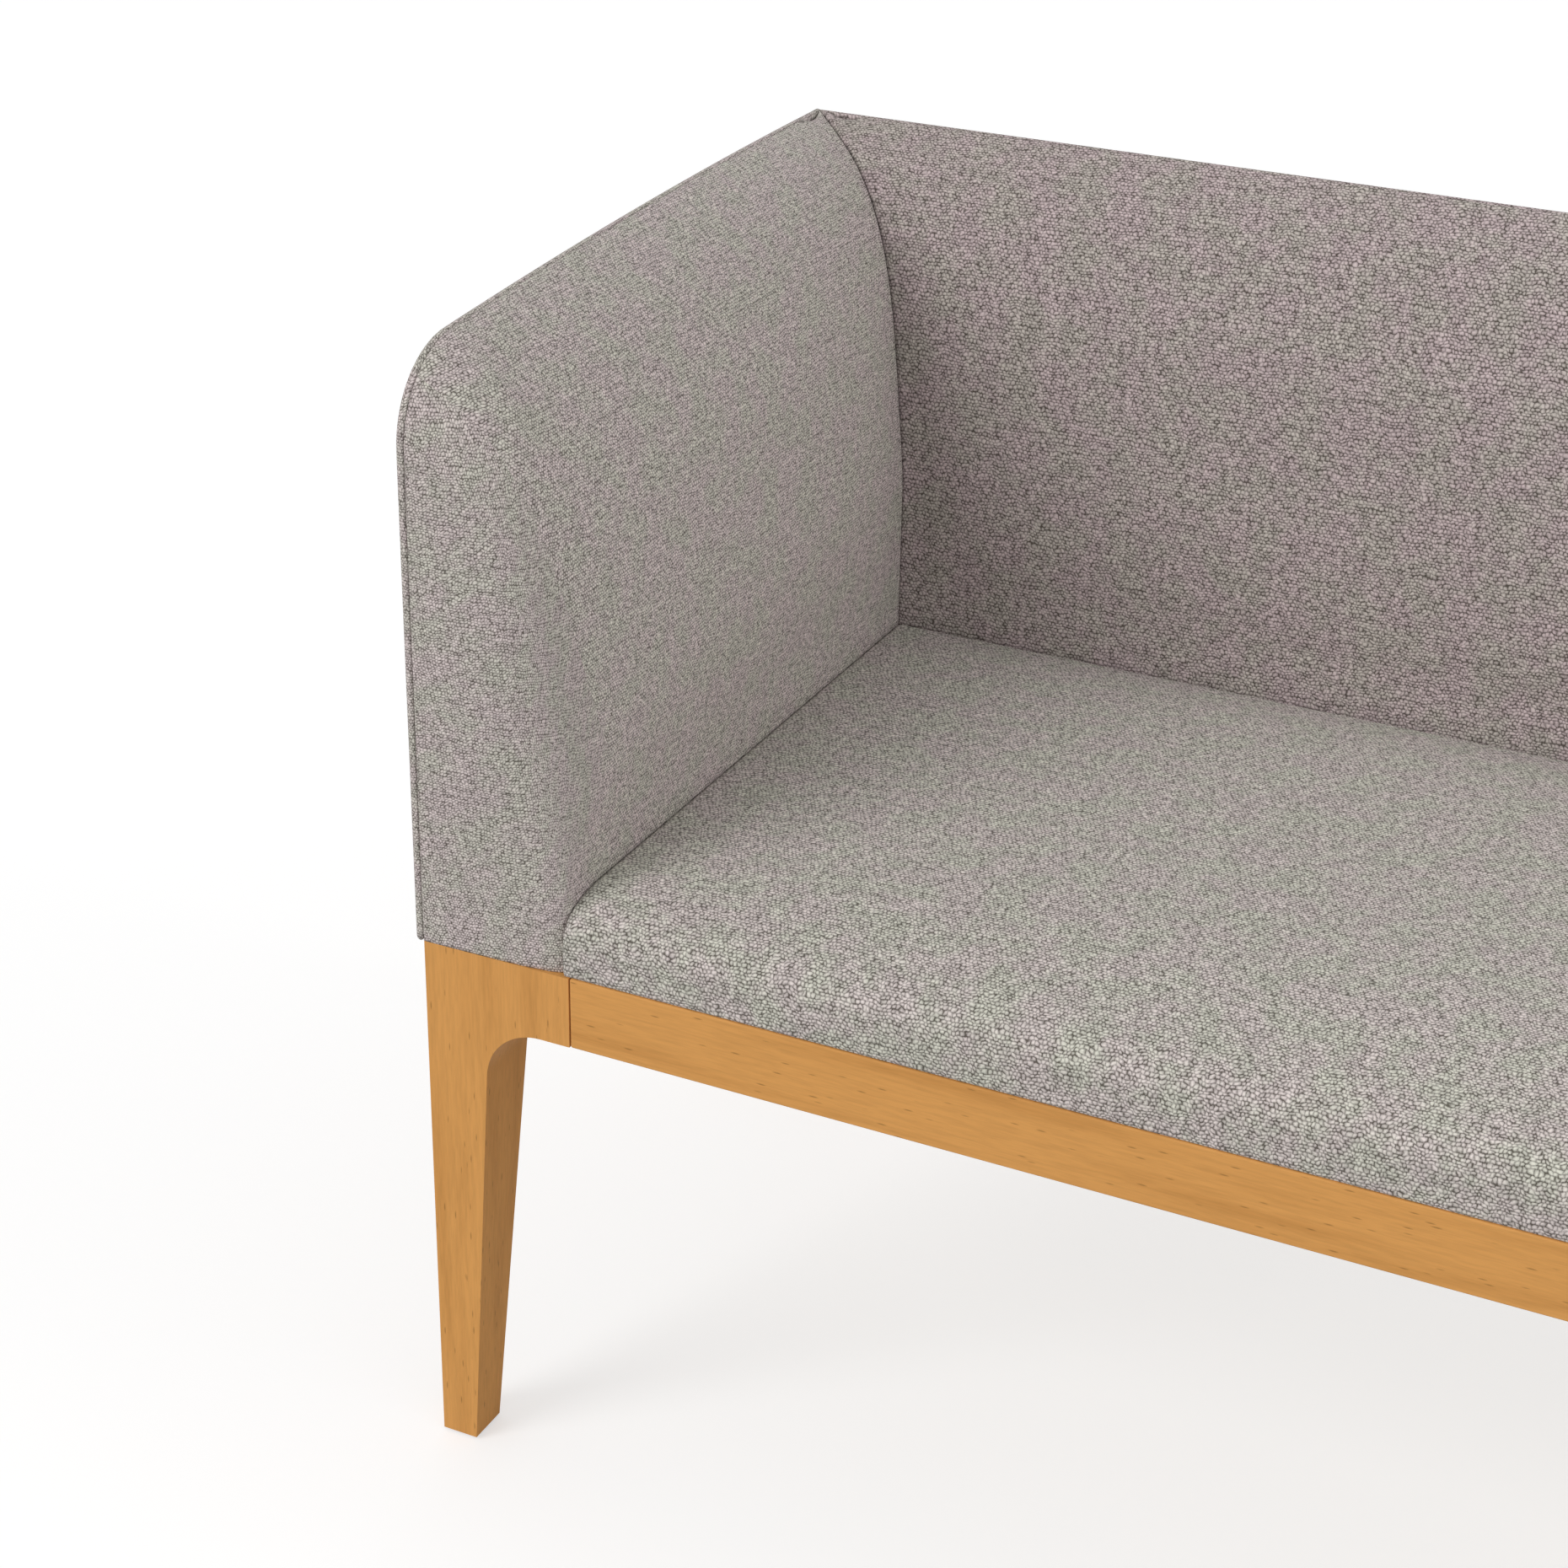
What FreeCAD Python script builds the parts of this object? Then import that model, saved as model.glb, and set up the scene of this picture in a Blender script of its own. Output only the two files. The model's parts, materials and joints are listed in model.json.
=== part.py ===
import FreeCAD, Part
import math
import os
import re

import Sketcher
from FreeCAD import Placement, Rotation, Vector

# Corner banquette. Millimetres, X along the front to the right, Y to the back, Z up.
# The origin is on the floor under the middle of the whole piece.

SIZES = (
    # timber base
    ("base_length", 1204, "outer face to outer face of the legs, along the front"),
    ("base_depth", 587, "outer face to outer face of the legs, front to back"),
    ("leg_height", 400, "timber leg, foot to top"),
    ("glide_projection", 2, "how far a glide stands below the foot"),
    ("glide_diameter", 20, "nylon glide"),
    ("glide_recess", 3, "depth of the glide in the foot"),
    ("foot_width", 27, "leg at the floor, along the front"),
    ("foot_depth", 32, "leg at the floor, front to back"),
    ("knee_width", 48, "leg under its shoulder, along the front"),
    ("knee_depth", 56, "leg under its shoulder, front to back"),
    ("shoulder", 110, "length of each leg shoulder from the outer face"),
    ("leg_sweep", 42, "radius between leg and shoulder"),
    ("arris", 2, "eased edge of the legs"),
    ("rail_height", 52, "rails and leg shoulders"),
    ("rail_thickness", 28, "rails and leg shoulders"),
    ("rail_ease", 0.8, "eased ends of the rails, the groove at the leg joint"),
    ("cross_height", 40, "cross rails"),
    ("cross_inset", 150, "left cross rail from the left legs' outer face"),
    ("block_near", 90, "corner block, nearer end from the leg corner"),
    ("block_far", 130, "corner block, farther end from the leg corner"),
    ("block_height", 40, "corner blocks"),
    # joints and fixings
    ("tenon_length", 18, "tenons of all rails"),
    ("tenon_thickness", 10, "tenons of all rails"),
    ("tenon_margin", 8, "rail above and below its tenon"),
    ("joint_clearance", 0.2, "mortise over tenon, all round"),
    ("screw_diameter", 6, "coach screw shank"),
    ("screw_head", 10, "coach screw head, across its flats"),
    ("screw_head_height", 4, "coach screw head"),
    ("screw_sink", 12, "depth of the counterbores under the base"),
    ("counterbore", 13, "hole for a screw head"),
    ("seat_screw_bite", 10, "seat screw in the seat board"),
    ("panel_screw_bite", 30, "panel screw in a panel's foot rail"),
    ("corner_screw_bite", 25, "corner screw in the side's rear post"),
    # upholstery
    ("overhang", 8, "upholstery beyond the timber at both ends and at the back"),
    ("panel_rise", 426, "side and back above the base"),
    ("side_thickness", 114, "side at seat height"),
    ("back_thickness", 70, "back at seat height"),
    ("side_fall", 18, "fall of the side's top edge from the corner to the front"),
    ("outline_radius", 65, "rounded upper corner at the free ends"),
    ("wrap", 7, "outer cover from the outer face to its seam"),
    ("waist", 52, "straight lower part of a panel's free end"),
    ("rim_bevel", 3, "turned edge of the outer cover"),
    ("cover_thickness", 2, "fabric with its backing"),
    ("soft_clearance", 0.3, "between soft pieces and their neighbours"),
    ("seat_thickness", 53, "seat above the base at the back of its front roll"),
    ("seat_roll", 22, "roll of the seat's front edge"),
    ("seat_tuck", 8, "roll of the seat's edge along the back"),
    ("seat_crown", 9, "rise of the seat's middle above its edges"),
    ("seat_end_roll", 12, "roll of the seat's open right end"),
    ("seat_side_roll", 5, "roll of the seat's edge along the side"),
    # panel frames
    ("board_thickness", 6, "plywood boards of the panels"),
    ("side_post", 36, "side frame timber, thickness"),
    ("back_post", 26, "back frame timber, thickness"),
    ("frame_width", 40, "panel frame timber, width"),
    ("frame_drop", 60, "panel frames below the top of the padding"),
    ("frame_inset", 32, "panel frames behind the free ends"),
    ("deck_thickness", 15, "seat plywood"),
)

# Values that follow from the sizes above.
DERIVED = (
    ("base_top", "leg_height + glide_projection"),
    ("rail_bottom", "base_top - rail_height"),
    ("left_face", "-base_length / 2"),
    ("right_face", "base_length / 2"),
    ("front_face", "-(base_depth + overhang) / 2"),
    ("rear_face", "front_face + base_depth"),
    ("cover_left", "left_face - overhang"),
    ("cover_right", "right_face + overhang"),
    ("cover_rear", "rear_face + overhang"),
    ("side_inner", "cover_left + side_thickness"),
    ("back_inner", "cover_rear - back_thickness"),
    ("panel_height", "base_top + panel_rise"),
    ("frame_rise", "panel_rise - frame_drop"),
    ("frame_height", "base_top + frame_rise"),
    ("seat_top", "base_top + seat_thickness"),
    ("side_board_out", "cover_left + cover_thickness"),
    ("side_frame_out", "side_board_out + board_thickness"),
    ("side_frame_in", "side_frame_out + side_post"),
    ("side_board_in", "side_frame_in + board_thickness"),
    ("back_board_out", "cover_rear - cover_thickness"),
    ("back_frame_out", "back_board_out - board_thickness"),
    ("back_frame_in", "back_frame_out - back_post"),
    ("back_board_in", "back_frame_in - board_thickness"),
    ("side_frame_front", "front_face + frame_inset"),
    ("back_frame_end", "cover_right - frame_inset"),
    ("cross_bottom", "base_top - cross_height"),
    ("cross_left", "left_face + cross_inset"),
    ("seat_left", "side_inner + soft_clearance"),
    ("seat_rear", "back_inner - soft_clearance"),
    ("skin", "cover_thickness + soft_clearance"),
    ("waist_level", "base_top + waist"),
)

# Section of the padded side and back, from the outer seam to the inner face: share of the thickness,
# fall of the top, set-back of the free end up to the waist and at the shoulder, share of the corner radius.
PAD_SECTION = (
    (0.000, 0.0, 0.0, 0.0, 1.0),
    (0.270, 17.0, 0.2, 0.6, 1.0),
    (0.390, 26.5, 0.4, 1.3, 0.98),
    (0.500, 38.5, 0.6, 2.5, 0.95),
    (0.605, 54.5, 0.9, 4.4, 0.93),
    (0.700, 75.0, 1.2, 7.0, 0.9),
    (0.835, 123.0, 2.4, 15.0, 0.85),
    (0.930, 190.0, 4.0, 27.0, 0.8),
    (1.000, 250.0, 7.0, 44.0, 0.75),
)
# Sections of the seat: shares of its length, and the turns in degrees of its rolled ends.
SEAT_SHARES = (0.12, 0.3, 0.5, 0.7, 0.88)
END_TURNS = (90, 60, 30, 0)
# The crown of the seat is full in the middle and dies away towards the ends with this power.
CROWN_POWER = 3
CROWN_LEAST = 0.05
SCREW_SHARES = (0.3, 0.7)
# Points nearer than this count as one.
TOUCH = 0.001
SCRATCH_CELL = "D1"

doc = FreeCAD.newDocument("corner_banquette")
sheet = doc.addObject("Spreadsheet::Sheet", "dims")
ALIASES = {entry[0] for entry in SIZES + DERIVED}


def formula(text):
    """Point every size named in an expression at its cell in the sheet."""
    def pointed(word):
        return "dims." + word.group() if word.group() in ALIASES else word.group()

    return re.sub(r"[a-z_]+", pointed, text)


for row, (alias, value, note) in enumerate(SIZES, 1):
    sheet.set("A%d" % row, note)
    sheet.set("B%d" % row, str(value))
    sheet.setAlias("B%d" % row, alias)
for row, (alias, text) in enumerate(DERIVED, len(SIZES) + 2):
    sheet.set("A%d" % row, "follows from the sizes above")
    sheet.set("B%d" % row, "=" + text)
    sheet.setAlias("B%d" % row, alias)
doc.recompute()


def size(alias):
    return float(sheet.get(alias))


nodes = []


def node(item, label):
    """Give a finished piece its name and put it on the export list."""
    item.Label = label
    nodes.append(item)
    return item


def place(item, x, y, z):
    for axis, text in zip("xyz", (x, y, z)):
        item.setExpression("Placement.Base." + axis, formula(text))
    return item


def box(x, y, z, dx, dy, dz):
    item = doc.addObject("Part::Box", "block")
    for name, text in zip(("Length", "Width", "Height"), (dx, dy, dz)):
        item.setExpression(name, formula(text))
    return place(item, x, y, z)


TURNS = {
    "+y": Rotation(Vector(1, 0, 0), -90),
    "-y": Rotation(Vector(1, 0, 0), 90),
    "+z": Rotation(),
    "-z": Rotation(Vector(1, 0, 0), 180),
}


def rod(x, y, z, way, diameter, length):
    item = doc.addObject("Part::Cylinder", "rod")
    item.setExpression("Radius", formula("(%s) / 2" % diameter))
    item.setExpression("Height", formula(length))
    item.Placement = Placement(Vector(), TURNS[way])
    return place(item, x, y, z)


def hexagon(x, y, z, way, across_flats, height):
    item = doc.addObject("Part::Prism", "hexagon")
    item.Polygon = 6
    item.setExpression("Circumradius", formula("%s / sqrt(3)" % across_flats))
    item.setExpression("Height", formula(height))
    item.Placement = Placement(Vector(), TURNS[way])
    return place(item, x, y, z)


def group(items):
    item = doc.addObject("Part::Compound", "set")
    item.Links = items
    return item


def joined(items):
    item = doc.addObject("Part::MultiFuse", "joined")
    item.Shapes = items
    return item


def less(base, tools):
    item = doc.addObject("Part::Cut", "less")
    item.Base = base
    item.Tool = tools[0] if len(tools) == 1 else group(tools)
    return item


def mirrored(source, normal, y="0"):
    item = doc.addObject("Part::Mirroring", "mirrored")
    item.Source = source
    item.Normal = normal
    item.setExpression("Base.y", formula(y))
    return item


# Sketching

def origin_plane(body, role):
    return next(feature for feature in body.Origin.OriginFeatures if feature.Role == role)


def sketch_on(body, role):
    sketch = body.newObject("Sketcher::SketchObject", "sketch")
    sketch.AttachmentSupport = [(origin_plane(body, role), "")]
    sketch.MapMode = "FlatFace"
    return sketch


def drive(sketch, kind, *args):
    """Add a dimension whose value comes from the sheet; the last argument is its expression."""
    text = args[-1]
    index = sketch.addConstraint(Sketcher.Constraint(kind, *args[:-1], worked_out(text)))
    sketch.setExpression("Constraints[%d]" % index, formula(text))


def worked_out(text):
    """Value of an expression of sheet sizes, worked out by the sheet itself."""
    sheet.set(SCRATCH_CELL, "=" + text)
    sheet.recompute()
    value = float(sheet.get(SCRATCH_CELL))
    sheet.clear(SCRATCH_CELL)
    return value


# How the sketcher numbers a line's ends, its own origin and its axes.
START, END = range(1, 3)
ORIGIN = ACROSS = -START
UPWARD = -END


def polygon(sketch, corners):
    """Closed outline through corners given as pairs of expressions; '0' pins to an axis."""
    points = [Vector(worked_out(x), worked_out(y), 0) for x, y in corners]
    lines = [Part.LineSegment(a, b) for a, b in zip(points, points[1:] + points[:1])]
    sketch.addGeometry(lines, False)
    count = len(lines)
    for index in range(count):
        sketch.addConstraint(Sketcher.Constraint("Coincident", index, END, (index + 1) % count, START))
    for index, (x, y) in enumerate(corners):
        if x == "0":
            sketch.addConstraint(Sketcher.Constraint("PointOnObject", index, START, UPWARD))
        else:
            drive(sketch, "DistanceX", ORIGIN, START, index, START, x)
        if y == "0":
            sketch.addConstraint(Sketcher.Constraint("PointOnObject", index, START, ACROSS))
        else:
            drive(sketch, "DistanceY", ORIGIN, START, index, START, y)


def extrude(body, kind, sketch, text, reverse=False):
    feature = body.newObject("PartDesign::" + kind, kind.lower())
    feature.Profile = sketch
    feature.setExpression("Length", formula(text))
    feature.Reversed = reverse
    sketch.Visibility = False
    return feature


def ease(body, feature, width, wanted):
    """Bevel the edges of the last feature that the test picks."""
    names = ["Edge%d" % n for n, edge in enumerate(feature.Shape.Edges, 1) if wanted(edge)]
    bevel = body.newObject("PartDesign::Chamfer", "eased")
    bevel.Base = (feature, names)
    bevel.setExpression("Size", formula(width))
    return bevel


# Leg: tapered post with two swept shoulders, its outer corner at the body's origin

def swept_outline(sketch, foot, knee, beyond):
    """Tapered edge, sweep and shoulder underside, closed round the timber or round the waste."""
    foot_x, knee_x = size(foot), size(knee)
    under = size("leg_height") - size("rail_height")
    radius, reach, top = size("leg_sweep"), size("shoulder"), size("leg_height")
    taper = Vector(knee_x - foot_x, under, 0)
    along = taper * (1 / taper.Length)
    across = Vector(along.y, -along.x, 0)
    run = (under - radius - across.y * radius) / along.y
    leave = Vector(foot_x, 0, 0) + along * run
    centre = leave + across * radius
    meet = Vector(centre.x, under, 0)
    start = math.atan2(meet.y - centre.y, meet.x - centre.x)
    stop = math.atan2(leave.y - centre.y, leave.x - centre.x)
    corners = [Vector(0, top, 0), Vector(0, 0, 0)]
    if beyond:
        corners = [Vector(reach, 0, 0)]
    chain = [Part.LineSegment(Vector(foot_x, 0, 0), leave),
             Part.ArcOfCircle(Part.Circle(centre, Vector(0, 0, 1), radius), start, stop),
             Part.LineSegment(meet, Vector(reach, under, 0))]
    upper = [] if beyond else [Vector(reach, top, 0)]
    ends = [Vector(reach, under, 0)] + upper + corners + [Vector(foot_x, 0, 0)]
    chain += [Part.LineSegment(a, b) for a, b in zip(ends, ends[1:])]
    sketch.addGeometry(chain, False)
    taper_line, sweep, underside, first = 0, 1, 2, 3
    last = len(chain) - 1
    add = sketch.addConstraint
    add(Sketcher.Constraint("Tangent", taper_line, END, sweep, END))
    add(Sketcher.Constraint("Tangent", sweep, START, underside, START))
    add(Sketcher.Constraint("Coincident", underside, END, first, START))
    for index in range(first, last):
        add(Sketcher.Constraint("Coincident", index, END, index + 1, START))
    add(Sketcher.Constraint("Coincident", last, END, taper_line, START))
    add(Sketcher.Constraint("Horizontal", underside))
    add(Sketcher.Constraint("Vertical", first))
    add(Sketcher.Constraint("PointOnObject", taper_line, START, ACROSS))
    drive(sketch, "DistanceX", ORIGIN, START, taper_line, START, foot)
    drive(sketch, "DistanceX", ORIGIN, START, underside, END, "shoulder")
    drive(sketch, "DistanceY", ORIGIN, START, underside, END, "leg_height - rail_height")
    drive(sketch, "Radius", sweep, "leg_sweep")
    knee_point = sketch.addGeometry(Part.Point(Vector(knee_x, under, 0)), True)
    add(Sketcher.Constraint("PointOnObject", knee_point, START, taper_line))
    drive(sketch, "DistanceX", ORIGIN, START, knee_point, START, knee)
    drive(sketch, "DistanceY", ORIGIN, START, knee_point, START, "leg_height - rail_height")
    if beyond:
        add(Sketcher.Constraint("PointOnObject", first, END, ACROSS))
    else:
        drive(sketch, "DistanceY", ORIGIN, START, first, END, "leg_height")
        add(Sketcher.Constraint("Horizontal", first + 1))
        add(Sketcher.Constraint("PointOnObject", first + 1, END, UPWARD))
        add(Sketcher.Constraint("Coincident", first + 2, END, ORIGIN, START))


def leg_body():
    body = doc.addObject("PartDesign::Body", "leg")
    front = sketch_on(body, "XZ_Plane")
    swept_outline(front, "foot_width", "knee_width", beyond=False)
    post = extrude(body, "Pad", front, "shoulder", reverse=True)
    side = sketch_on(body, "YZ_Plane")
    swept_outline(side, "foot_depth", "knee_depth", beyond=True)
    taper = extrude(body, "Pocket", side, "shoulder", reverse=True)
    plan = sketch_on(body, "XY_Plane")
    polygon(plan, (("knee_width", "rail_thickness"), ("shoulder", "rail_thickness"),
                   ("shoulder", "shoulder"), ("rail_thickness", "shoulder"),
                   ("rail_thickness", "knee_depth"), ("knee_width", "knee_depth")))
    corner = extrude(body, "Pocket", plan, "leg_height", reverse=True)
    doc.recompute()
    top, reach = size("leg_height"), size("shoulder")

    def outer_arris(edge):
        room = edge.BoundBox
        on_face = room.YMax < TOUCH or room.XMax < TOUCH
        return on_face and room.ZMin < top - TOUCH and room.XMin < reach - TOUCH and room.YMin < reach - TOUCH

    ease(body, corner, "arris", outer_arris)
    return place(body, "left_face", "front_face", "glide_projection")


# Rails: eased bars

def rail_body(x, y, z, dx, dy, dz):
    body = doc.addObject("PartDesign::Body", "rail")
    plan = sketch_on(body, "XY_Plane")
    polygon(plan, (("0", "0"), (dx, "0"), (dx, dy), ("0", dy)))
    bar = extrude(body, "Pad", plan, dz)
    doc.recompute()
    ease(body, bar, "rail_ease", lambda edge: True)
    return place(body, x, y, z)


def block_body():
    """Corner block across the inside of a leg, its ends bearing on both rails."""
    body = doc.addObject("PartDesign::Body", "block")
    plan = sketch_on(body, "XY_Plane")
    polygon(plan, (("0", "block_near - rail_thickness"), ("block_near - rail_thickness", "0"),
                   ("block_far - rail_thickness", "0"), ("0", "block_far - rail_thickness")))
    extrude(body, "Pad", plan, "block_height")
    return place(body, "left_face + rail_thickness", "front_face + rail_thickness", "base_top - block_height")


def four_corners(source):
    """The front left piece and its three mirror images, by name."""
    middle = "front_face + base_depth / 2"
    right = mirrored(source, Vector(1, 0, 0))
    rear = mirrored(source, Vector(0, 1, 0), middle)
    return {"front_left": source, "front_right": right, "rear_left": rear,
            "rear_right": mirrored(rear, Vector(1, 0, 0))}


# Rails: every rail has a tongue through its length, whose ends are its tenons

def tongue(way, x, y, z, dx, dy, dz, spare="0"):
    """Tongue of a bar that lies along x or y, or with spare the mortises it needs."""
    height = "%s - 2 * tenon_margin + 2 * %s" % (dz, spare)
    low = "%s + tenon_margin - %s" % (z, spare)
    reach = "(tenon_length + %s)" % spare
    thick = "tenon_thickness + 2 * %s" % spare
    if way == "x":
        return box("%s - %s" % (x, reach), "%s + (%s - tenon_thickness) / 2 - %s" % (y, dy, spare), low,
                   "%s + 2 * %s" % (dx, reach), thick, height)
    return box("%s + (%s - tenon_thickness) / 2 - %s" % (x, dx, spare), "%s - %s" % (y, reach), low,
               thick, "%s + 2 * %s" % (dy, reach), height)


class Bar:
    """Tenoned rail and the cutter for the mortises that take it."""

    def __init__(self, way, *block, body=None):
        self.piece = joined([body or box(*block), tongue(way, *block)])
        self.mortises = tongue(way, *block, spare="joint_clearance")


def base_rail(way, x, y, dx, dy):
    """Eased rail of the base, between the shoulders of two legs."""
    block = (x, y, "rail_bottom", dx, dy, "rail_height")
    return Bar(way, *block, body=rail_body(*block))


near_left = "left_face + shoulder"
near_front = "front_face + shoulder"
rail_length = "(base_length - 2 * shoulder)"
rail_depth = "(base_depth - 2 * shoulder)"
front_rail = base_rail("x", near_left, "front_face", rail_length, "rail_thickness")
rear_rail = base_rail("x", near_left, "rear_face - rail_thickness", rail_length, "rail_thickness")
left_rail = base_rail("y", "left_face", near_front, "rail_thickness", rail_depth)
right_rail = base_rail("y", "right_face - rail_thickness", near_front, "rail_thickness", rail_depth)
cross_rails = {label: Bar("y", x, "front_face + rail_thickness", "cross_bottom", "rail_thickness",
                          "(base_depth - 2 * rail_thickness)", "cross_height")
               for label, x in (("left_cross_rail", "cross_left"),
                                ("centre_cross_rail", "-rail_thickness / 2"))}
cross_mortises = [bar.mortises for bar in cross_rails.values()]

# Panel frames: posts from the base to the frame's top, with tenoned rails between them

side_rear_post = "(back_frame_in - frame_width)"
top_rail = "frame_height - frame_width"
post_middle = "((left_face + back_frame_end) / 2 - frame_width / 2)"
side_rail_run = "(%s - side_frame_front - frame_width)" % side_rear_post
first_run = "(%s - left_face - frame_width)" % post_middle
second_run = "(back_frame_end - 2 * frame_width - %s)" % post_middle
side_bars = {label: Bar("y", "side_frame_out", "side_frame_front + frame_width", z, "side_post",
                        side_rail_run, "frame_width")
             for label, z in (("side_foot_rail", "base_top"), ("side_top_rail", top_rail))}
back_bars = {}
for hand, start, run in (("left", "left_face + frame_width", first_run),
                         ("right", post_middle + " + frame_width", second_run)):
    for level, z in (("foot", "base_top"), ("top", top_rail)):
        label = "back_%s_%s_rail" % (hand, level)
        back_bars[label] = Bar("x", start, "back_frame_in", z, run, "back_post", "frame_width")
side_mortises = [bar.mortises for bar in side_bars.values()]
back_mortises = [bar.mortises for bar in back_bars.values()]


# Screws: each is drawn with the hole for its head and the pilot for its shank

OPPOSITE = {"+z": "-z", "-y": "+y"}


class Screw:
    """Coach screw that goes in along a way from the face its head sits on."""

    def __init__(self, x, y, z, way, length, sink):
        back = OPPOSITE[way]
        self.piece = joined([rod(x, y, z, way, "screw_diameter", length),
                             hexagon(x, y, z, back, "screw_head", "screw_head_height")])
        self.holes = [rod(x, y, z, way, "screw_diameter", length),
                      rod(x, y, z, back, "counterbore", sink)]


def seat_screws_under(x):
    return [Screw(x, "front_face + %s * base_depth" % share, "cross_bottom + screw_sink", "+z",
                  "cross_height - screw_sink + seat_screw_bite", "screw_sink") for share in SCREW_SHARES]


seat_screws = {"left_cross_rail": seat_screws_under("cross_left + rail_thickness / 2"),
               "centre_cross_rail": seat_screws_under("0")}


def panel_screw(x, y):
    return Screw(x, y, "rail_bottom + screw_sink", "+z", "rail_height - screw_sink + panel_screw_bite",
                 "screw_sink")


side_screws = [panel_screw("(side_frame_out + left_face + rail_thickness) / 2",
                           "front_face + %s * base_depth" % share) for share in SCREW_SHARES]
back_screws = [panel_screw("left_face + %s * base_length" % share, "(back_frame_in + rear_face) / 2")
               for share in SCREW_SHARES]
corner_screws = [Screw("left_face + frame_width / 2", "back_frame_out - screw_head_height",
                       "base_top + %s * frame_rise" % share, "-y",
                       "back_post - screw_head_height + corner_screw_bite", "screw_head_height")
                 for share in SCREW_SHARES]


def holes_of(screws):
    return [hole for screw in screws for hole in screw.holes]


all_seat_screws = [screw for screws in seat_screws.values() for screw in screws]
node(group([screw.piece for screw in all_seat_screws]), "seat_screws")
node(group([screw.piece for screw in side_screws + back_screws]), "panel_screws")
node(group([screw.piece for screw in corner_screws]), "corner_screws")

# Timber base

glide_x, glide_y = "left_face + foot_width / 2", "front_face + foot_depth / 2"
glide_hole = rod(glide_x, glide_y, "glide_projection", "+z", "glide_diameter", "glide_recess")
leg = less(leg_body(), [glide_hole, front_rail.mortises, left_rail.mortises])
for corner, piece in four_corners(leg).items():
    node(piece, corner + "_leg")
glide = rod(glide_x, glide_y, "0", "+z", "glide_diameter", "glide_projection + glide_recess")
node(group(list(four_corners(glide).values())), "glides")
node(less(front_rail.piece, cross_mortises), "front_rail")
node(less(rear_rail.piece, cross_mortises + holes_of(back_screws)), "rear_rail")
node(less(left_rail.piece, holes_of(side_screws)), "left_rail")
node(right_rail.piece, "right_rail")
for label, bar in cross_rails.items():
    node(less(bar.piece, holes_of(seat_screws[label])), label)
for corner, piece in four_corners(block_body()).items():
    node(piece, corner + "_block")

# Side frame

side_front = box("side_frame_out", "side_frame_front", "base_top", "side_post", "frame_width", "frame_rise")
side_rear = box("side_frame_out", side_rear_post, "base_top", "side_post", "frame_width", "frame_rise")
node(less(side_front, side_mortises), "side_front_post")
node(less(side_rear, side_mortises + holes_of(corner_screws)), "side_rear_post")
node(less(side_bars["side_foot_rail"].piece, holes_of(side_screws)), "side_foot_rail")
node(side_bars["side_top_rail"].piece, "side_top_rail")
side_run = "(%s + frame_width - side_frame_front)" % side_rear_post
for label, x in (("side_outer_board", "side_board_out"), ("side_inner_board", "side_frame_in")):
    node(box(x, "side_frame_front", "base_top", "board_thickness", side_run, "frame_rise"), label)

# Back frame

back_posts = {label: box(x, "back_frame_in", "base_top", "frame_width", "back_post", "frame_rise")
              for label, x in (("back_left_post", "left_face"), ("back_middle_post", post_middle),
                               ("back_right_post", "back_frame_end - frame_width"))}
for label, post in back_posts.items():
    holes = holes_of(corner_screws) if label == "back_left_post" else []
    node(less(post, back_mortises + holes), label)
for label, bar in back_bars.items():
    node(less(bar.piece, holes_of(back_screws)) if "foot" in label else bar.piece, label)
node(box("left_face", "back_frame_out", "base_top", "(back_frame_end - left_face)", "board_thickness",
         "frame_rise"), "back_outer_board")
node(box("side_board_in", "back_board_in", "base_top", "(back_frame_end - side_board_in)", "board_thickness",
         "frame_rise"), "back_inner_board")

# Seat board

deck = box("seat_left + skin", "front_face + skin", "base_top", "cover_right - seat_left - 2 * skin",
           "seat_rear - front_face - 2 * skin", "deck_thickness")
node(less(deck, holes_of(all_seat_screws)), "seat_board")

doc.recompute()

# Soft pieces. A panel is drawn in its own directions: u from the free end to the corner,
# v upwards and w from the outer seam to the room.


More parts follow.
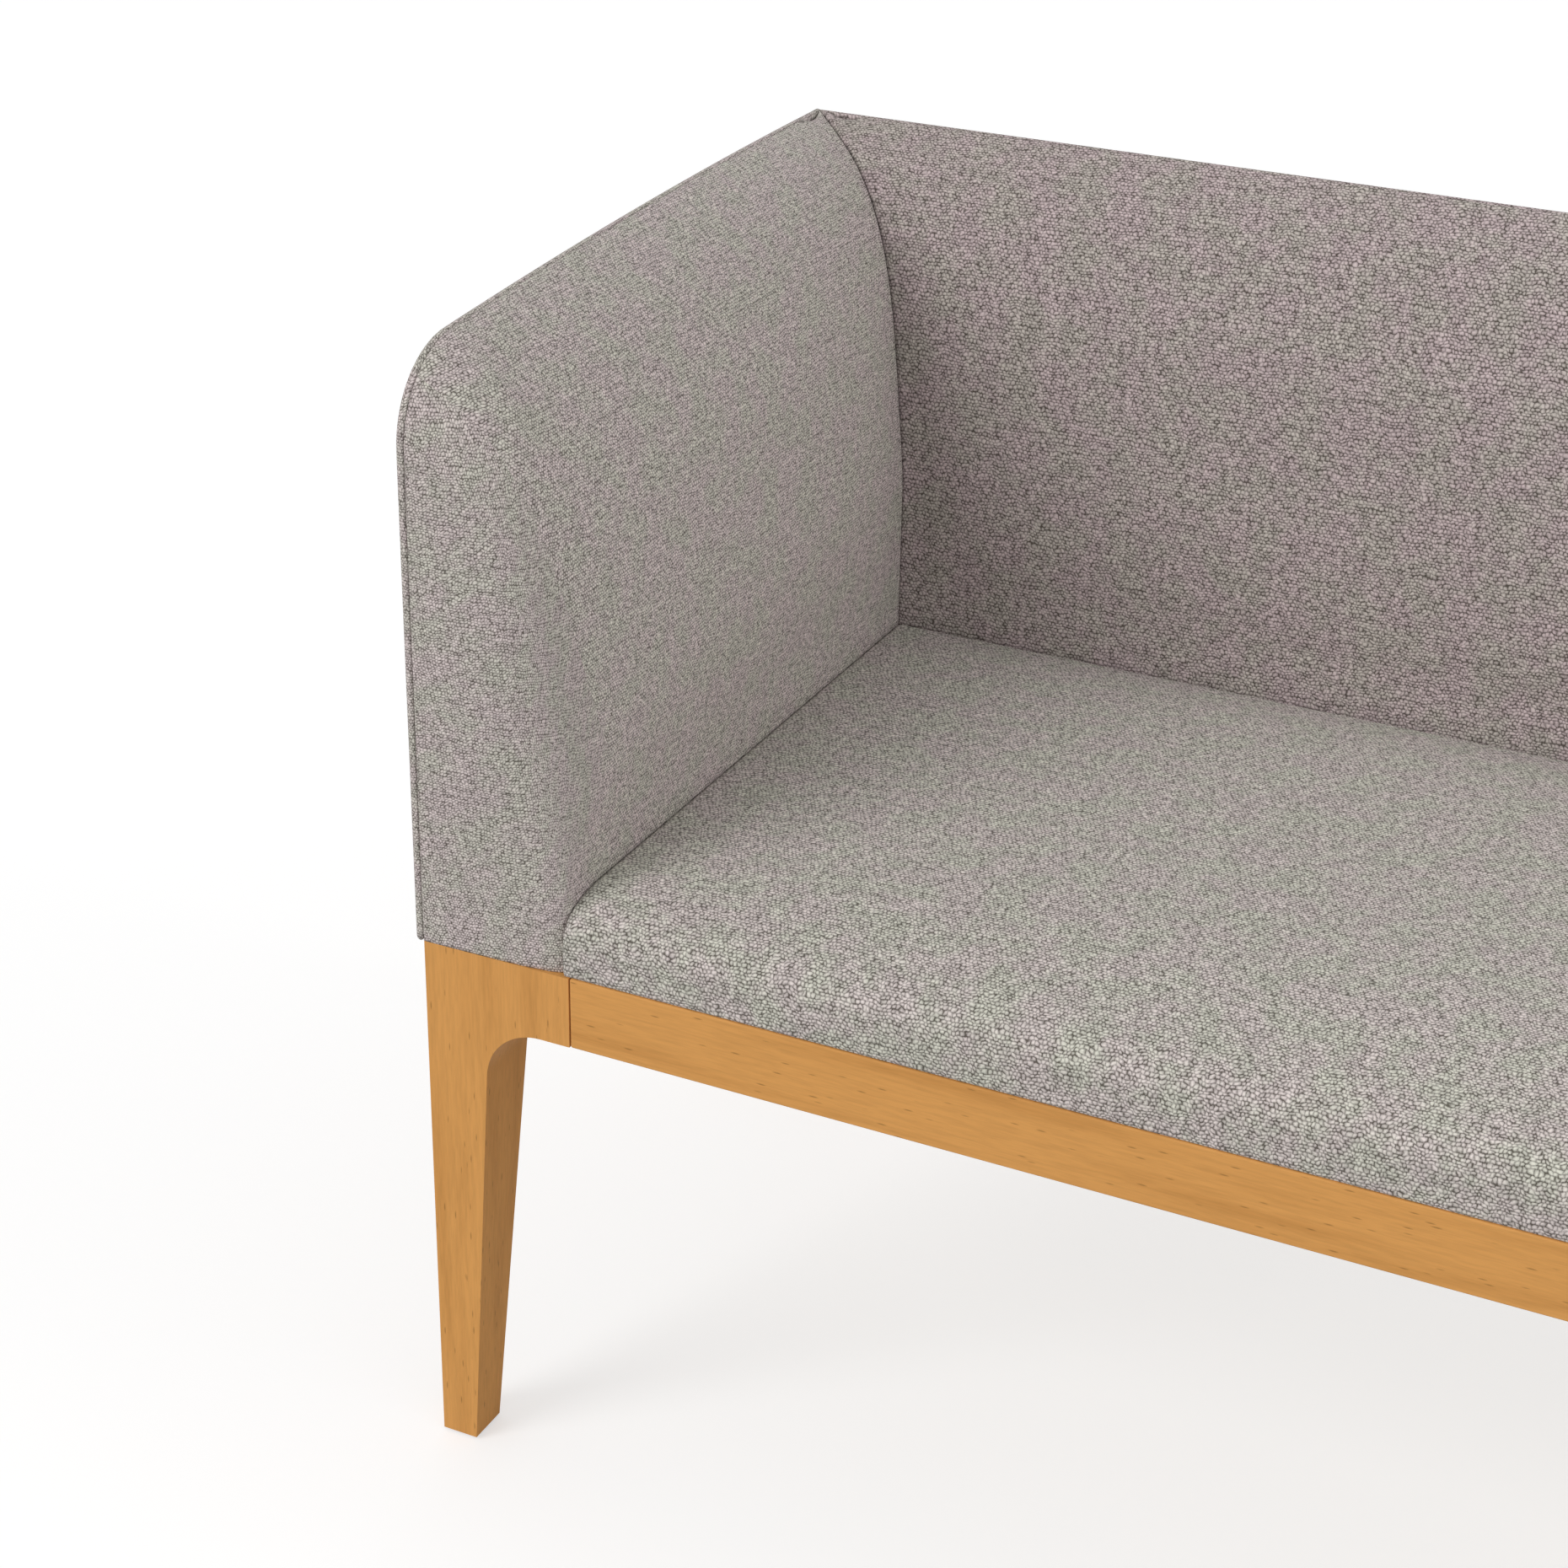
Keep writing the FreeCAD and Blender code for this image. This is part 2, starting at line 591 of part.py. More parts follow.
class Panel:
    """Padded panel: where its u, v and w run, and how long and thick it is."""

    def __init__(self, at_end, along, inward, length, thickness, fall):
        self.at_end = at_end
        self.along = along
        self.inward = inward
        self.length = length
        self.thickness = thickness
        self.fall = fall

    def point(self, u, v, w):
        spot = self.at_end + self.along * u + self.inward * w
        return Vector(spot.x, spot.y, v)

    def outline(self, w, drop, low, high, round_share, shrink, foot):
        """Closed wire of the panel's side view at depth w."""
        radius = round_share * size("outline_radius") - shrink
        peak = size("panel_height") - drop - shrink
        front_peak = peak - self.fall
        low, high = low + shrink, high + shrink
        bend = radius * (1 - math.sqrt(0.5))
        middle = (high + radius + self.length) / 2
        heel = self.point(self.length, foot, w)
        toe = self.point(low, foot, w)
        waist = self.point(low, size("waist_level"), w)
        knee = self.point(high, front_peak - radius, w)
        round_ = self.point(high + bend, front_peak - bend, w)
        brow = self.point(high + radius, front_peak, w)
        crest = self.point(middle, peak, w)
        nape = self.point(self.length, peak, w)
        top = Part.BezierCurve()
        top.setPoles([brow, crest, nape])
        return Part.Wire([Part.LineSegment(heel, toe).toShape(), Part.LineSegment(toe, waist).toShape(),
                          Part.LineSegment(waist, knee).toShape(), Part.Arc(knee, round_, brow).toShape(),
                          top.toShape(), Part.LineSegment(nape, heel).toShape()])

    def pad(self, shrink, foot):
        """Domed solid of the panel from the seam to its inner face."""
        depth = self.thickness - size("wrap") - shrink
        rings = [self.outline(share * depth, drop, low, high, turn, shrink, foot)
                 for share, drop, low, high, turn in PAD_SECTION]
        return Part.makeLoft(rings, True, True)

    def tray(self, shrink, foot, outer, bevel=0.0):
        """Slab behind the seam, from the outer face less a given skin, its outer edge bevelled."""
        stations = [(0, shrink), (outer - bevel, shrink)] + ([(outer, shrink + bevel)] if bevel else [])
        rings = [self.outline(-w, 0, 0, 0, 1, inset, foot) for w, inset in stations]
        return Part.makeLoft(rings, True, True)


def half_space(points):
    """Tall prism over a plan outline, for cutting along the mitre."""
    tall = 2 * size("panel_height")
    plan = [Vector(p.x, p.y, -size("panel_height") / 2) for p in points]
    return Part.Face(Part.makePolygon(plan + plan[:1])).extrude(Vector(0, 0, tall))


FRONT = Vector(0, 1, 0)
RIGHTWARD = Vector(1, 0, 0)
wrap = size("wrap")
skin = size("skin")
cover = size("cover_thickness")
gap = size("soft_clearance")
base_top = size("base_top")
side_seam = size("cover_left") + wrap
back_seam = size("cover_rear") - wrap
side_panel = Panel(Vector(side_seam, size("front_face"), 0), FRONT, RIGHTWARD,
                   size("cover_rear") - size("front_face"), size("side_thickness"), size("side_fall"))
back_panel = Panel(Vector(size("cover_right"), back_seam, 0), -RIGHTWARD, -FRONT,
                   size("cover_right") - size("cover_left"), size("back_thickness"), 0.0)

# The mitre runs from the outer corner to the inner corner at seat height.
outer_corner = Vector(size("cover_left"), size("cover_rear"), 0)
inner_corner = Vector(size("side_inner"), size("back_inner"), 0)
mitre = inner_corner - outer_corner
mitre_normal = Vector(mitre.y, -mitre.x, 0).normalize()
if mitre_normal.y > 0:
    mitre_normal = -mitre_normal
reach = 3 * size("base_length")


def mitre_side(normal):
    """Everything on one side of the mitre, held half a seam gap away from it."""
    ahead = FreeCAD.Vector(mitre).normalize() * reach
    middle = outer_corner + normal * (gap / 2)
    return half_space([middle - ahead, middle + ahead, middle + ahead + normal * reach,
                       middle - ahead + normal * reach])


def soft(shape, label):
    """Keep the one solid of a boolean result as a named piece."""
    item = doc.addObject("Part::Feature", "soft")
    item.Shape = max(shape.Solids, key=lambda solid: solid.Volume)
    item.Placement = Placement()
    return node(item, label)


def block_shape(x0, x1, y0, y1, z0, z1):
    return Part.makeBox(x1 - x0, y1 - y0, z1 - z0, Vector(x0, y0, z0))


frame_height = size("frame_height")
below = base_top - size("rail_height")
beyond = size("cover_rear") + wrap
frame_voids = [
    block_shape(size("cover_left") - wrap, size("side_board_in"), size("side_frame_front"), beyond, below,
                frame_height),
    block_shape(size("cover_left") - wrap, size("back_frame_end"), size("back_board_in"), beyond, below,
                frame_height),
]
for name, panel, normal in (("side", side_panel, mitre_normal), ("back", back_panel, -mitre_normal)):
    keep = mitre_side(normal)
    full = panel.pad(0.0, base_top)
    inner = panel.pad(cover, base_top - wrap)
    soft(full.cut(inner).common(keep), name + "_inner_cover")
    core = panel.pad(skin, base_top).fuse(panel.tray(skin, base_top, wrap - skin)).common(keep)
    soft(core.cut(frame_voids[0]).cut(frame_voids[1]), name + "_foam")
    slab = panel.tray(0.0, base_top, wrap, size("rim_bevel"))
    hollow = panel.tray(cover, base_top - wrap, wrap - cover)
    soft(slab.cut(hollow).common(keep), name + "_outer_cover")


# Seat: a rolled section carried along its length, drawn in step by step to its rolled ends

def seat_ring(x, share, shrink, inset, foot):
    """Front-to-back section of the seat; inset draws it in towards a rolled end."""
    front, rear = size("front_face") + shrink + inset, size("seat_rear") - shrink - inset
    top = size("seat_top") - shrink - inset
    keep = 1 - inset / size("seat_roll")
    roll, tuck = keep * (size("seat_roll") - shrink), keep * (size("seat_tuck") - shrink)
    corner = 1 - math.sqrt(0.5)
    rise = max(CROWN_LEAST, 1 - abs(2 * share - 1) ** CROWN_POWER) * size("seat_crown")
    spots = {
        "heel": (rear, foot), "toe": (front, foot), "lip": (front, top - roll),
        "nose": (front + corner * roll, top - corner * roll), "brow": (front + roll, top),
        "crest": ((front + roll + rear - tuck) / 2, top + rise), "nape": (rear - tuck, top),
        "fold": (rear - corner * tuck, top - corner * tuck), "back": (rear, top - tuck),
    }
    at = {name: Vector(x, y, z) for name, (y, z) in spots.items()}
    return Part.Wire([Part.LineSegment(at["heel"], at["toe"]).toShape(),
                      Part.LineSegment(at["toe"], at["lip"]).toShape(),
                      Part.Arc(at["lip"], at["nose"], at["brow"]).toShape(),
                      Part.Arc(at["brow"], at["crest"], at["nape"]).toShape(),
                      Part.Arc(at["nape"], at["fold"], at["back"]).toShape(),
                      Part.LineSegment(at["back"], at["heel"]).toShape()])


def seat_solid(shrink, foot):
    """Seat from a foot height up, less a skin."""
    left, right = size("seat_left") + shrink, size("cover_right") - shrink
    side_roll, end_roll = size("seat_side_roll") - shrink, size("seat_end_roll") - shrink
    turns = [math.radians(turn) for turn in END_TURNS]
    stations = [(left + side_roll * (1 - math.sin(turn)), side_roll * (1 - math.cos(turn))) for turn in turns]
    stations += [(left + share * (right - left), 0) for share in SEAT_SHARES]
    stations += [(right - end_roll * (1 - math.sin(turn)), end_roll * (1 - math.cos(turn)))
                 for turn in reversed(turns)]
    rings = [seat_ring(x, (x - left) / (right - left), shrink, inset, foot) for x, inset in stations]
    return Part.makeLoft(rings, True, True)


soft(seat_solid(0.0, base_top).cut(seat_solid(cover, base_top)), "seat_cover")
soft(seat_solid(skin, base_top + size("deck_thickness")), "seat_foam")

# Check and write

doc.recompute()
faults = []
for item in doc.Objects:
    if "Invalid" in item.State or "Error" in item.State:
        faults.append(item.Label + " " + str(item.State))
for item in nodes:
    if item.Shape.isNull() or not item.Shape.isValid() or not item.Shape.Solids:
        faults.append(item.Label + " has no sound shape")
if faults:
    raise RuntimeError("; ".join(faults))
os.makedirs("parts", exist_ok=True)
for item in nodes:
    item.Shape.exportStep("parts/%s.step" % item.Label)
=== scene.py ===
import json
import math

import bmesh
import bpy
import numpy as np
from mathutils import Matrix, Vector


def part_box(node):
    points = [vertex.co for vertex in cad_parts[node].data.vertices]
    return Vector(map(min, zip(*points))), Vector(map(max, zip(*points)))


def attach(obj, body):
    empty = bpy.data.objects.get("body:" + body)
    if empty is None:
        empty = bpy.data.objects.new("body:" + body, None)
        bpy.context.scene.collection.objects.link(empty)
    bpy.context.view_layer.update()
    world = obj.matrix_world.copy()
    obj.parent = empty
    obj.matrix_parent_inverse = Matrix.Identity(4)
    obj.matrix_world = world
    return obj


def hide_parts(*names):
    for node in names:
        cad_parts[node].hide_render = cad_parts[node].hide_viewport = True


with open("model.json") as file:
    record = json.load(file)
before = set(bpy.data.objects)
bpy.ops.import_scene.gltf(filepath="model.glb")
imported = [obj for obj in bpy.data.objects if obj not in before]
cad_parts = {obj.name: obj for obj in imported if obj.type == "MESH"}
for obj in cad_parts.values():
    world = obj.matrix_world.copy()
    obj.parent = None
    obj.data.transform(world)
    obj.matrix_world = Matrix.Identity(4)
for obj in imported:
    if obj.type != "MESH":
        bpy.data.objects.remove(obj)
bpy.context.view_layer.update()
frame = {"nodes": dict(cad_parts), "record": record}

bl_info = {
    "name": "Corner banquette",
    "version": (1, 0, 0),
    "blender": (4, 5, 0),
    "location": "View3D > Sidebar > Banquette",
    "description": "Dresses the corner banquette: timber base, padded seat, side and back",
    "category": "Object",
}

BODY = "root"
MM = 0.001


def colour(code):
    """Linear colour of an sRGB hex value."""
    parts = [int(code[i:i + 2], 16) / 255 for i in (0, 2, 4)]
    return tuple(c / 12.92 if c <= 0.04045 else ((c + 0.055) / 1.055) ** 2.4 for c in parts)


def length(name, description, default):
    """Setting that holds a length in metres."""
    return bpy.props.FloatProperty(name=name, description=description, default=default, unit="LENGTH",
                                   precision=4)


def swatch(name, description, code):
    """Setting that holds a colour, given as an sRGB hex value."""
    return bpy.props.FloatVectorProperty(name=name, description=description, default=colour(code), size=3,
                                         subtype="COLOR", min=0, max=1)


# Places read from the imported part

LEG_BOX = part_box("front_left_leg")
SIDE_PAD_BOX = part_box("side_inner_cover")
SIDE_COVER_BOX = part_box("side_outer_cover")
BACK_COVER_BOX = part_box("back_outer_cover")
SEAT_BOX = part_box("seat_cover")


class TimberSettings(bpy.types.PropertyGroup):
    """Sizes and colours of the timber base"""
    foot_width: length("Foot width", "Leg at the floor, along the front", 27 * MM)
    foot_depth: length("Foot depth", "Leg at the floor, front to back", 32 * MM)
    knee_width: length("Knee width", "Leg under its shoulder, along the front", 48 * MM)
    knee_depth: length("Knee depth", "Leg under its shoulder, front to back", 56 * MM)
    shoulder: length("Shoulder", "Length of a leg's shoulder from its outer face", 110 * MM)
    sweep: length("Sweep", "Radius between leg and shoulder", 42 * MM)
    rail_height: length("Rail height", "Height of rails and shoulders", 52 * MM)
    rail_thickness: length("Rail thickness", "Thickness of rails and shoulders", 28 * MM)
    arris: length("Arris", "Rounded edge of legs and rails", 2.2 * MM)
    joint_ease: length("Joint ease", "Eased edge on both sides of a leg joint", 1.4 * MM)
    joint_gap: length("Joint gap", "Fine shadow gap between a rail and a leg's shoulder", 0.7 * MM)
    honey: swatch("Honey", "Colour of the lacquered timber", "E0A35E")
    vein: swatch("Vein", "Darker flecks in the lacquered timber", "A86F35")


class PanelSettings(bpy.types.PropertyGroup):
    """Sizes of the padded side and back"""
    wrap: length("Wrap", "Outer cover from its face to the seam", 7 * MM)
    side_thickness: length("Side thickness", "Side at seat height", 114 * MM)
    back_thickness: length("Back thickness", "Back at seat height", 70 * MM)
    side_fall: length("Side fall", "Fall of the side's top from the corner to the front", 18 * MM)
    outline_radius: length("Outline radius", "Rounded upper corner at the free ends", 65 * MM)
    waist: length("Waist", "Straight lower part of a free end", 52 * MM)
    rim: length("Rim", "Rounded outer edge of the outer cover", 5 * MM)
    seam: length("Seam", "Rounded edge of the fabric at the sewn seam", 1.2 * MM)
    valley: length("Valley", "Rounded edge of a pad at the mitre", 2.2 * MM)
    swell: length("Swell", "How far the filling may push the fabric", 5 * MM)


class SeatSettings(bpy.types.PropertyGroup):
    """Sizes of the padded seat"""
    front_roll: length("Front roll", "Height of the front edge's roll", 25 * MM)
    front_reach: length("Front reach", "Depth of the front edge's roll", 50 * MM)
    rear_roll: length("Rear roll", "Roll along the back", 8 * MM)
    side_roll: length("Side roll", "Roll along the side", 6 * MM)
    end_roll: length("End roll", "Roll of the open end", 12 * MM)
    thickness: length("Thickness", "Seat above the base behind its front roll", 53 * MM)
    crown: length("Crown", "Rise of the middle above the edges", 9 * MM)
    swell: length("Swell", "How far the filling may push the fabric", 6 * MM)


class ClothSettings(bpy.types.PropertyGroup):
    """Knots and colours of the upholstery cloth"""
    side_thread: length("Side thread", "Spacing of the knots on the side", 2.4 * MM)
    back_thread: length("Back thread", "Spacing of the knots on the back", 3.2 * MM)
    seat_thread: length("Seat thread", "Spacing of the knots on the seat", 3.1 * MM)
    # The light and dark yarns are partly the heathered yarn's own tones and partly painted light: a painted
    # highlight on the knots' tops and painted shade in the gaps between knots.
    light: swatch("Light yarn", "Paler yarn", "F0EAE5")
    middle: swatch("Middle yarn", "Main yarn", "C8C2BE")
    dark_yarn_and_gap_shade: swatch("Dark yarn", "Gaps between the yarns", "666059")
    # The three tints are lit and shaded copies of one cloth: the back's darker tint is painted shade on the
    # back, while the side's and seat's tints are nearly white.
    side: swatch("Side tint", "Tint of the side's cloth", "FCF9F9")
    back: swatch("Back tint", "Tint of the back's cloth", "E6DEE1")
    seat: swatch("Seat tint", "Tint of the seat's cloth", "FDFDFB")
    cool: swatch("Cool cast", "Faint green cast of some patches", "F8FDF5")
    warm: swatch("Warm cast", "Faint rose cast of other patches", "FFF9FC")


# Materials

# Colour sockets of the Mix node
MIX_FIRST = 6
MIX_SECOND = 7
MIX_RESULT = 2


def node(tree, kind, links=(), **settings):
    """Add a node, set what it holds and link its inputs; names of inputs start with i_."""
    made = tree.nodes.new(kind)
    for name, value in settings.items():
        if name.startswith("i_"):
            key = name[2:]
            made.inputs[int(key) if key.isdigit() else key.replace("_", " ")].default_value = value
        else:
            setattr(made, name, value)
    for key, source in dict(links).items():
        tree.links.new(source, made.inputs[key])
    return made


def new_material(name):
    """Material with an empty node tree."""
    material = bpy.data.materials.new(name)
    material.use_nodes = True
    tree = material.node_tree
    tree.nodes.clear()
    return material, tree


def ramp(tree, source, stops):
    """Colour ramp over a value; each stop is a place and a linear colour."""
    made = node(tree, "ShaderNodeValToRGB", {"Fac": source})
    ends = made.color_ramp.elements
    while len(ends) < len(stops):
        ends.new(0.5)
    for end, (place, shade) in zip(ends, stops):
        end.position = place
        end.color = (*shade, 1)
    return made.outputs["Color"]


def grey(value):
    return (value, value, value)


def multiplied(tree, first, second):
    """One colour darkened by another."""
    made = node(tree, "ShaderNodeMix", {MIX_FIRST: first, MIX_SECOND: second}, data_type="RGBA",
                blend_type="MULTIPLY", i_Factor=1.0)
    return made.outputs[MIX_RESULT]


def sums(tree, operation, first, second=None, third=None):
    """Arithmetic node; each term is another node's output or a plain number."""
    made = node(tree, "ShaderNodeMath", operation=operation)
    for index, term in enumerate((first, second, third)):
        if isinstance(term, bpy.types.NodeSocket):
            tree.links.new(term, made.inputs[index])
        elif term is not None:
            made.inputs[index].default_value = term
    return made.outputs[0]


def moved(tree, operation, links, **settings):
    """Vector arithmetic node."""
    return node(tree, "ShaderNodeVectorMath", links, operation=operation, **settings).outputs["Vector"]


def noise(tree, place, scale, detail, roughness=0.5, dimensions="2D"):
    """Noise texture's outputs."""
    made = node(tree, "ShaderNodeTexNoise", {"Vector": place}, noise_dimensions=dimensions, i_Scale=scale,
                i_Detail=detail, i_Roughness=roughness)
    return made.outputs


def drawn_out(tree, place, grain, share):
    """Object coordinates with the pattern drawn out along the grain."""
    scale = tuple(share if axis == grain else 1.0 for axis in range(3))
    return node(tree, "ShaderNodeMapping", {"Vector": place}, i_Scale=scale).outputs["Vector"]


def surfaced(tree, shade, height, strength, distance, roughness, **settings):
    """Principled surface with a colour and a fine relief, joined to the material's output."""
    bump = node(tree, "ShaderNodeBump", {"Height": height}, i_Strength=strength, i_Distance=distance)
    surface = node(tree, "ShaderNodeBsdfPrincipled", {"Base Color": shade, "Normal": bump.outputs["Normal"]},
                   i_Roughness=roughness, **settings)
    node(tree, "ShaderNodeOutputMaterial", {"Surface": surface.outputs["BSDF"]})


# Weave: rows for each thread's spacing, shift from row to row, how far rows wander, roundness of a knot
ROWS_PER_THREAD = 1.2
ROW_SHIFT = 0.5
ROW_WANDER = 1.8
KNOT_ROUNDNESS = 0.7
# Patterns for each thread's spacing
WANDER_SCALE = 0.3
FIBRE_SCALE = 0.7
FUZZ_SCALE = 3.0
SLUB_SCALE = 0.22
# Patches of the faint casts for each metre
CAST_SCALE = 32.0
# Share of each pattern in the cloth's tone, and what is taken off the sum. Through the knots' share the tone
# paints shade in the gaps between knots and highlights on their tops.
KNOT_SHARE = 0.65
FUZZ_SHARE = 0.35
FIBRE_SHARE = 1.05
TONE_DROP = 0.555
# The darkest slubs keep this share of the tint.
SLUB_DARK = 0.85
# Depth of the relief for each thread's spacing
WEAVE_DEPTH = 0.3


def woven_crepe(piece_name):
    """Woven crepe upholstery: matt, uneven knots of heathered yarn in loose rows, thin shadows between."""
    cloth = bpy.context.scene.banquette_cloth
    # Tint of this piece; on the back it carries painted shade.
    tint = getattr(cloth, piece_name)
    thread = getattr(cloth, piece_name + "_thread")
    material, tree = new_material("woven_crepe_" + piece_name)
    place = node(tree, "ShaderNodeUVMap", uv_map="cloth").outputs["UV"]
    # Knots lie like bricks, one row against the next, and the rows wander by about half a thread.
    wander = noise(tree, place, WANDER_SCALE / thread, 2.0)["Color"]
    bent = moved(tree, "SCALE", {0: wander}, i_Scale=ROW_WANDER * thread)
    path = moved(tree, "ADD", {0: place, 1: bent})
    count = moved(tree, "SCALE", {0: path}, i_Scale=1 / thread)
    turns = node(tree, "ShaderNodeSeparateXYZ", {"Vector": count}).outputs
    rise = sums(tree, "MULTIPLY", turns["Y"], ROWS_PER_THREAD)
    row = sums(tree, "FLOOR", rise)
    staggered = sums(tree, "MULTIPLY_ADD", row, ROW_SHIFT, turns["X"])
    along = sums(tree, "SINE", sums(tree, "MULTIPLY", staggered, math.pi))
    across = sums(tree, "SINE", sums(tree, "MULTIPLY", rise, math.pi))
    bulge = sums(tree, "ABSOLUTE", sums(tree, "MULTIPLY", along, across))
    knot = sums(tree, "POWER", bulge, KNOT_ROUNDNESS)
    fibre = noise(tree, place, FIBRE_SCALE / thread, 3.0, 0.6)["Fac"]
    fuzz = noise(tree, place, FUZZ_SCALE / thread, 2.0)["Fac"]
    slub = noise(tree, place, SLUB_SCALE / thread, 4.0, 0.7)["Fac"]
    cast = noise(tree, place, CAST_SCALE, 3.0, 0.6)["Fac"]
    height = sums(tree, "MULTIPLY_ADD", fuzz, FUZZ_SHARE, sums(tree, "MULTIPLY", knot, KNOT_SHARE))
    tone = sums(tree, "MULTIPLY_ADD", fibre, FIBRE_SHARE, sums(tree, "SUBTRACT", height, TONE_DROP))
    # The ramp turns the tone into colour: painted shade in the gaps between knots, a painted highlight on
    # their tops, and the yarn's own random tones.
    yarn = ramp(tree, tone, ((0.12, cloth.dark_yarn_and_gap_shade), (0.5, cloth.middle), (0.85, cloth.light)))
    # Slubs darken the cloth at random; this ramp also carries the piece's tint, which on the back is painted
    # shade.
    drift = ramp(tree, slub, ((0.36, tuple(SLUB_DARK * part for part in tint)), (0.6, tuple(tint))))
    hue = ramp(tree, cast, ((0.36, cloth.cool), (0.62, cloth.warm)))
    shade = multiplied(tree, multiplied(tree, yarn, drift), hue)
    surfaced(tree, shade, tone, 0.7, WEAVE_DEPTH * thread, 0.95, i_Specular_IOR_Level=0.15,
             i_Sheen_Weight=0.1, i_Sheen_Roughness=0.6)
    return material


# Timber: patterns for each metre, and how much they are drawn out along the grain
FIGURE_SCALE = 55.0
STREAK_SCALE = 600.0
FLECK_SCALE = 230.0
GRAIN_DRAW = 1 / 14
FLECK_DRAW = 0.16
# How strongly the broad figure shows
FIGURE_SHARE = 0.28
# Depth of the pores, and of the fine mottle on the stuffs inside
PORE_DEPTH = 0.3 * MM


def lacquered_timber(name, grain):
    """Honey-stained cherry under satin lacquer: even colour, fine pores and short darker flecks."""
    timber = bpy.context.scene.banquette_timber
    material, tree = new_material(name)
    place = node(tree, "ShaderNodeTexCoord").outputs["Object"]
    run = drawn_out(tree, place, grain, GRAIN_DRAW)
    fleck_run = drawn_out(tree, place, grain, FLECK_DRAW)
    figure = noise(tree, run, FIGURE_SCALE, 4.0, 0.55, "3D")["Fac"]
    streak = noise(tree, run, STREAK_SCALE, 3.0, 0.6, "3D")["Fac"]
    fleck = node(tree, "ShaderNodeTexVoronoi", {"Vector": fleck_run}, feature="F1", i_Scale=FLECK_SCALE)
    broad = ramp(tree, figure, ((0.3, timber.vein), (0.52, timber.honey), (0.8, timber.honey)))
    fine = ramp(tree, streak, ((0.3, grey(0.88)), (0.62, grey(1.0))))
    specks = ramp(tree, fleck.outputs["Distance"], ((0.06, grey(0.62)), (0.15, grey(1.0))))
    body = node(tree, "ShaderNodeMix", {MIX_SECOND: broad}, data_type="RGBA", blend_type="MIX",
                i_Factor=FIGURE_SHARE)
    body.inputs[MIX_FIRST].default_value = (*timber.honey, 1)
    shade = multiplied(tree, multiplied(tree, body.outputs[MIX_RESULT], fine), specks)
    surfaced(tree, shade, streak, 0.08, PORE_DEPTH, 0.45, i_Specular_IOR_Level=0.04)
    return material


def plain_stuff(name, code, other, scale, roughness, metallic):
    """Workshop material inside the frame: one colour with a fine natural mottle."""
    material, tree = new_material(name)
    place = node(tree, "ShaderNodeTexCoord").outputs["Object"]
    mottle = noise(tree, place, scale, 4.0, dimensions="3D")["Fac"]
    shade = ramp(tree, mottle, ((0.3, colour(other)), (0.7, colour(code))))
    surfaced(tree, shade, mottle, 0.1, PORE_DEPTH, roughness, i_Metallic=metallic)
    return material


# Meshes

def piece(name, bm, material, slot, *nodes):
    """Turn a finished bmesh into a shown piece that stands for its CAD nodes."""
    if not bm.faces:
        raise RuntimeError(name + " came out empty")
    bmesh.ops.recalc_face_normals(bm, faces=bm.faces)
    mesh = bpy.data.meshes.new(name)
    bm.to_mesh(mesh)
    bm.free()
    for face in mesh.polygons:
        face.use_smooth = True
    item = bpy.data.objects.new(name, mesh)
    bpy.context.scene.collection.objects.link(item)
    mesh.materials.append(material)
    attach(item, BODY)
    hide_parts(*nodes)
    return item


def applied(item):
    """Bake the live modifiers into the piece's mesh."""
    graph = bpy.context.evaluated_depsgraph_get()
    mesh = bpy.data.meshes.new_from_object(item.evaluated_get(graph))
    item.modifiers.clear()
    item.data = mesh


def smoothed(item, levels):
    """Subdivide a piece and keep the result."""
    made = item.modifiers.new("smooth", "SUBSURF")
    made.levels = made.render_levels = levels
    applied(item)


# Filling: length of the simulation, its push, and how the fabric resists
FRAMES = 20
PRESSURE = 4.0
STRETCH_STIFFNESS = 25
BENDING_STIFFNESS = 4.0
# Shifts below this count as none.
NO_SHIFT = 1e-9


def corners_of(mesh):
    """Places of a mesh's corners, one row for each."""
    flat = np.empty(len(mesh.vertices) * 3)
    mesh.vertices.foreach_get("co", flat)
    return flat.reshape(-1, 3)


def swollen(item, cap, held):
    """Let the filling push the fabric out for a moment; held says how firmly a point is sewn down."""
    rest = corners_of(item.data)
    copy = item.copy()
    copy.data = item.data.copy()
    copy.parent = None
    bpy.context.scene.collection.objects.link(copy)
    sewn = copy.vertex_groups.new(name="sewn")
    for index, spot in enumerate(rest):
        sewn.add([index], held(Vector(spot)), "REPLACE")
    cloth = copy.modifiers.new("fabric", "CLOTH")
    cloth.settings.vertex_group_mass = "sewn"
    cloth.settings.use_pressure = True
    cloth.settings.uniform_pressure_force = PRESSURE
    cloth.settings.tension_stiffness = STRETCH_STIFFNESS
    cloth.settings.compression_stiffness = STRETCH_STIFFNESS
    cloth.settings.bending_stiffness = BENDING_STIFFNESS
    cloth.settings.effector_weights.gravity = 0
    cloth.point_cache.frame_start = 1
    cloth.point_cache.frame_end = FRAMES
    for step in range(1, FRAMES + 1):
        bpy.context.scene.frame_set(step)
    graph = bpy.context.evaluated_depsgraph_get()
    shift = corners_of(copy.evaluated_get(graph).data) - rest
    bpy.context.scene.frame_set(1)
    bpy.data.objects.remove(copy)
    reach = np.linalg.norm(shift, axis=1, keepdims=True)
    shift *= cap * np.tanh(reach / cap) / np.maximum(reach, NO_SHIFT)
    item.data.vertices.foreach_set("co", (rest + shift).ravel())
    item.data.update()


# Padded panels

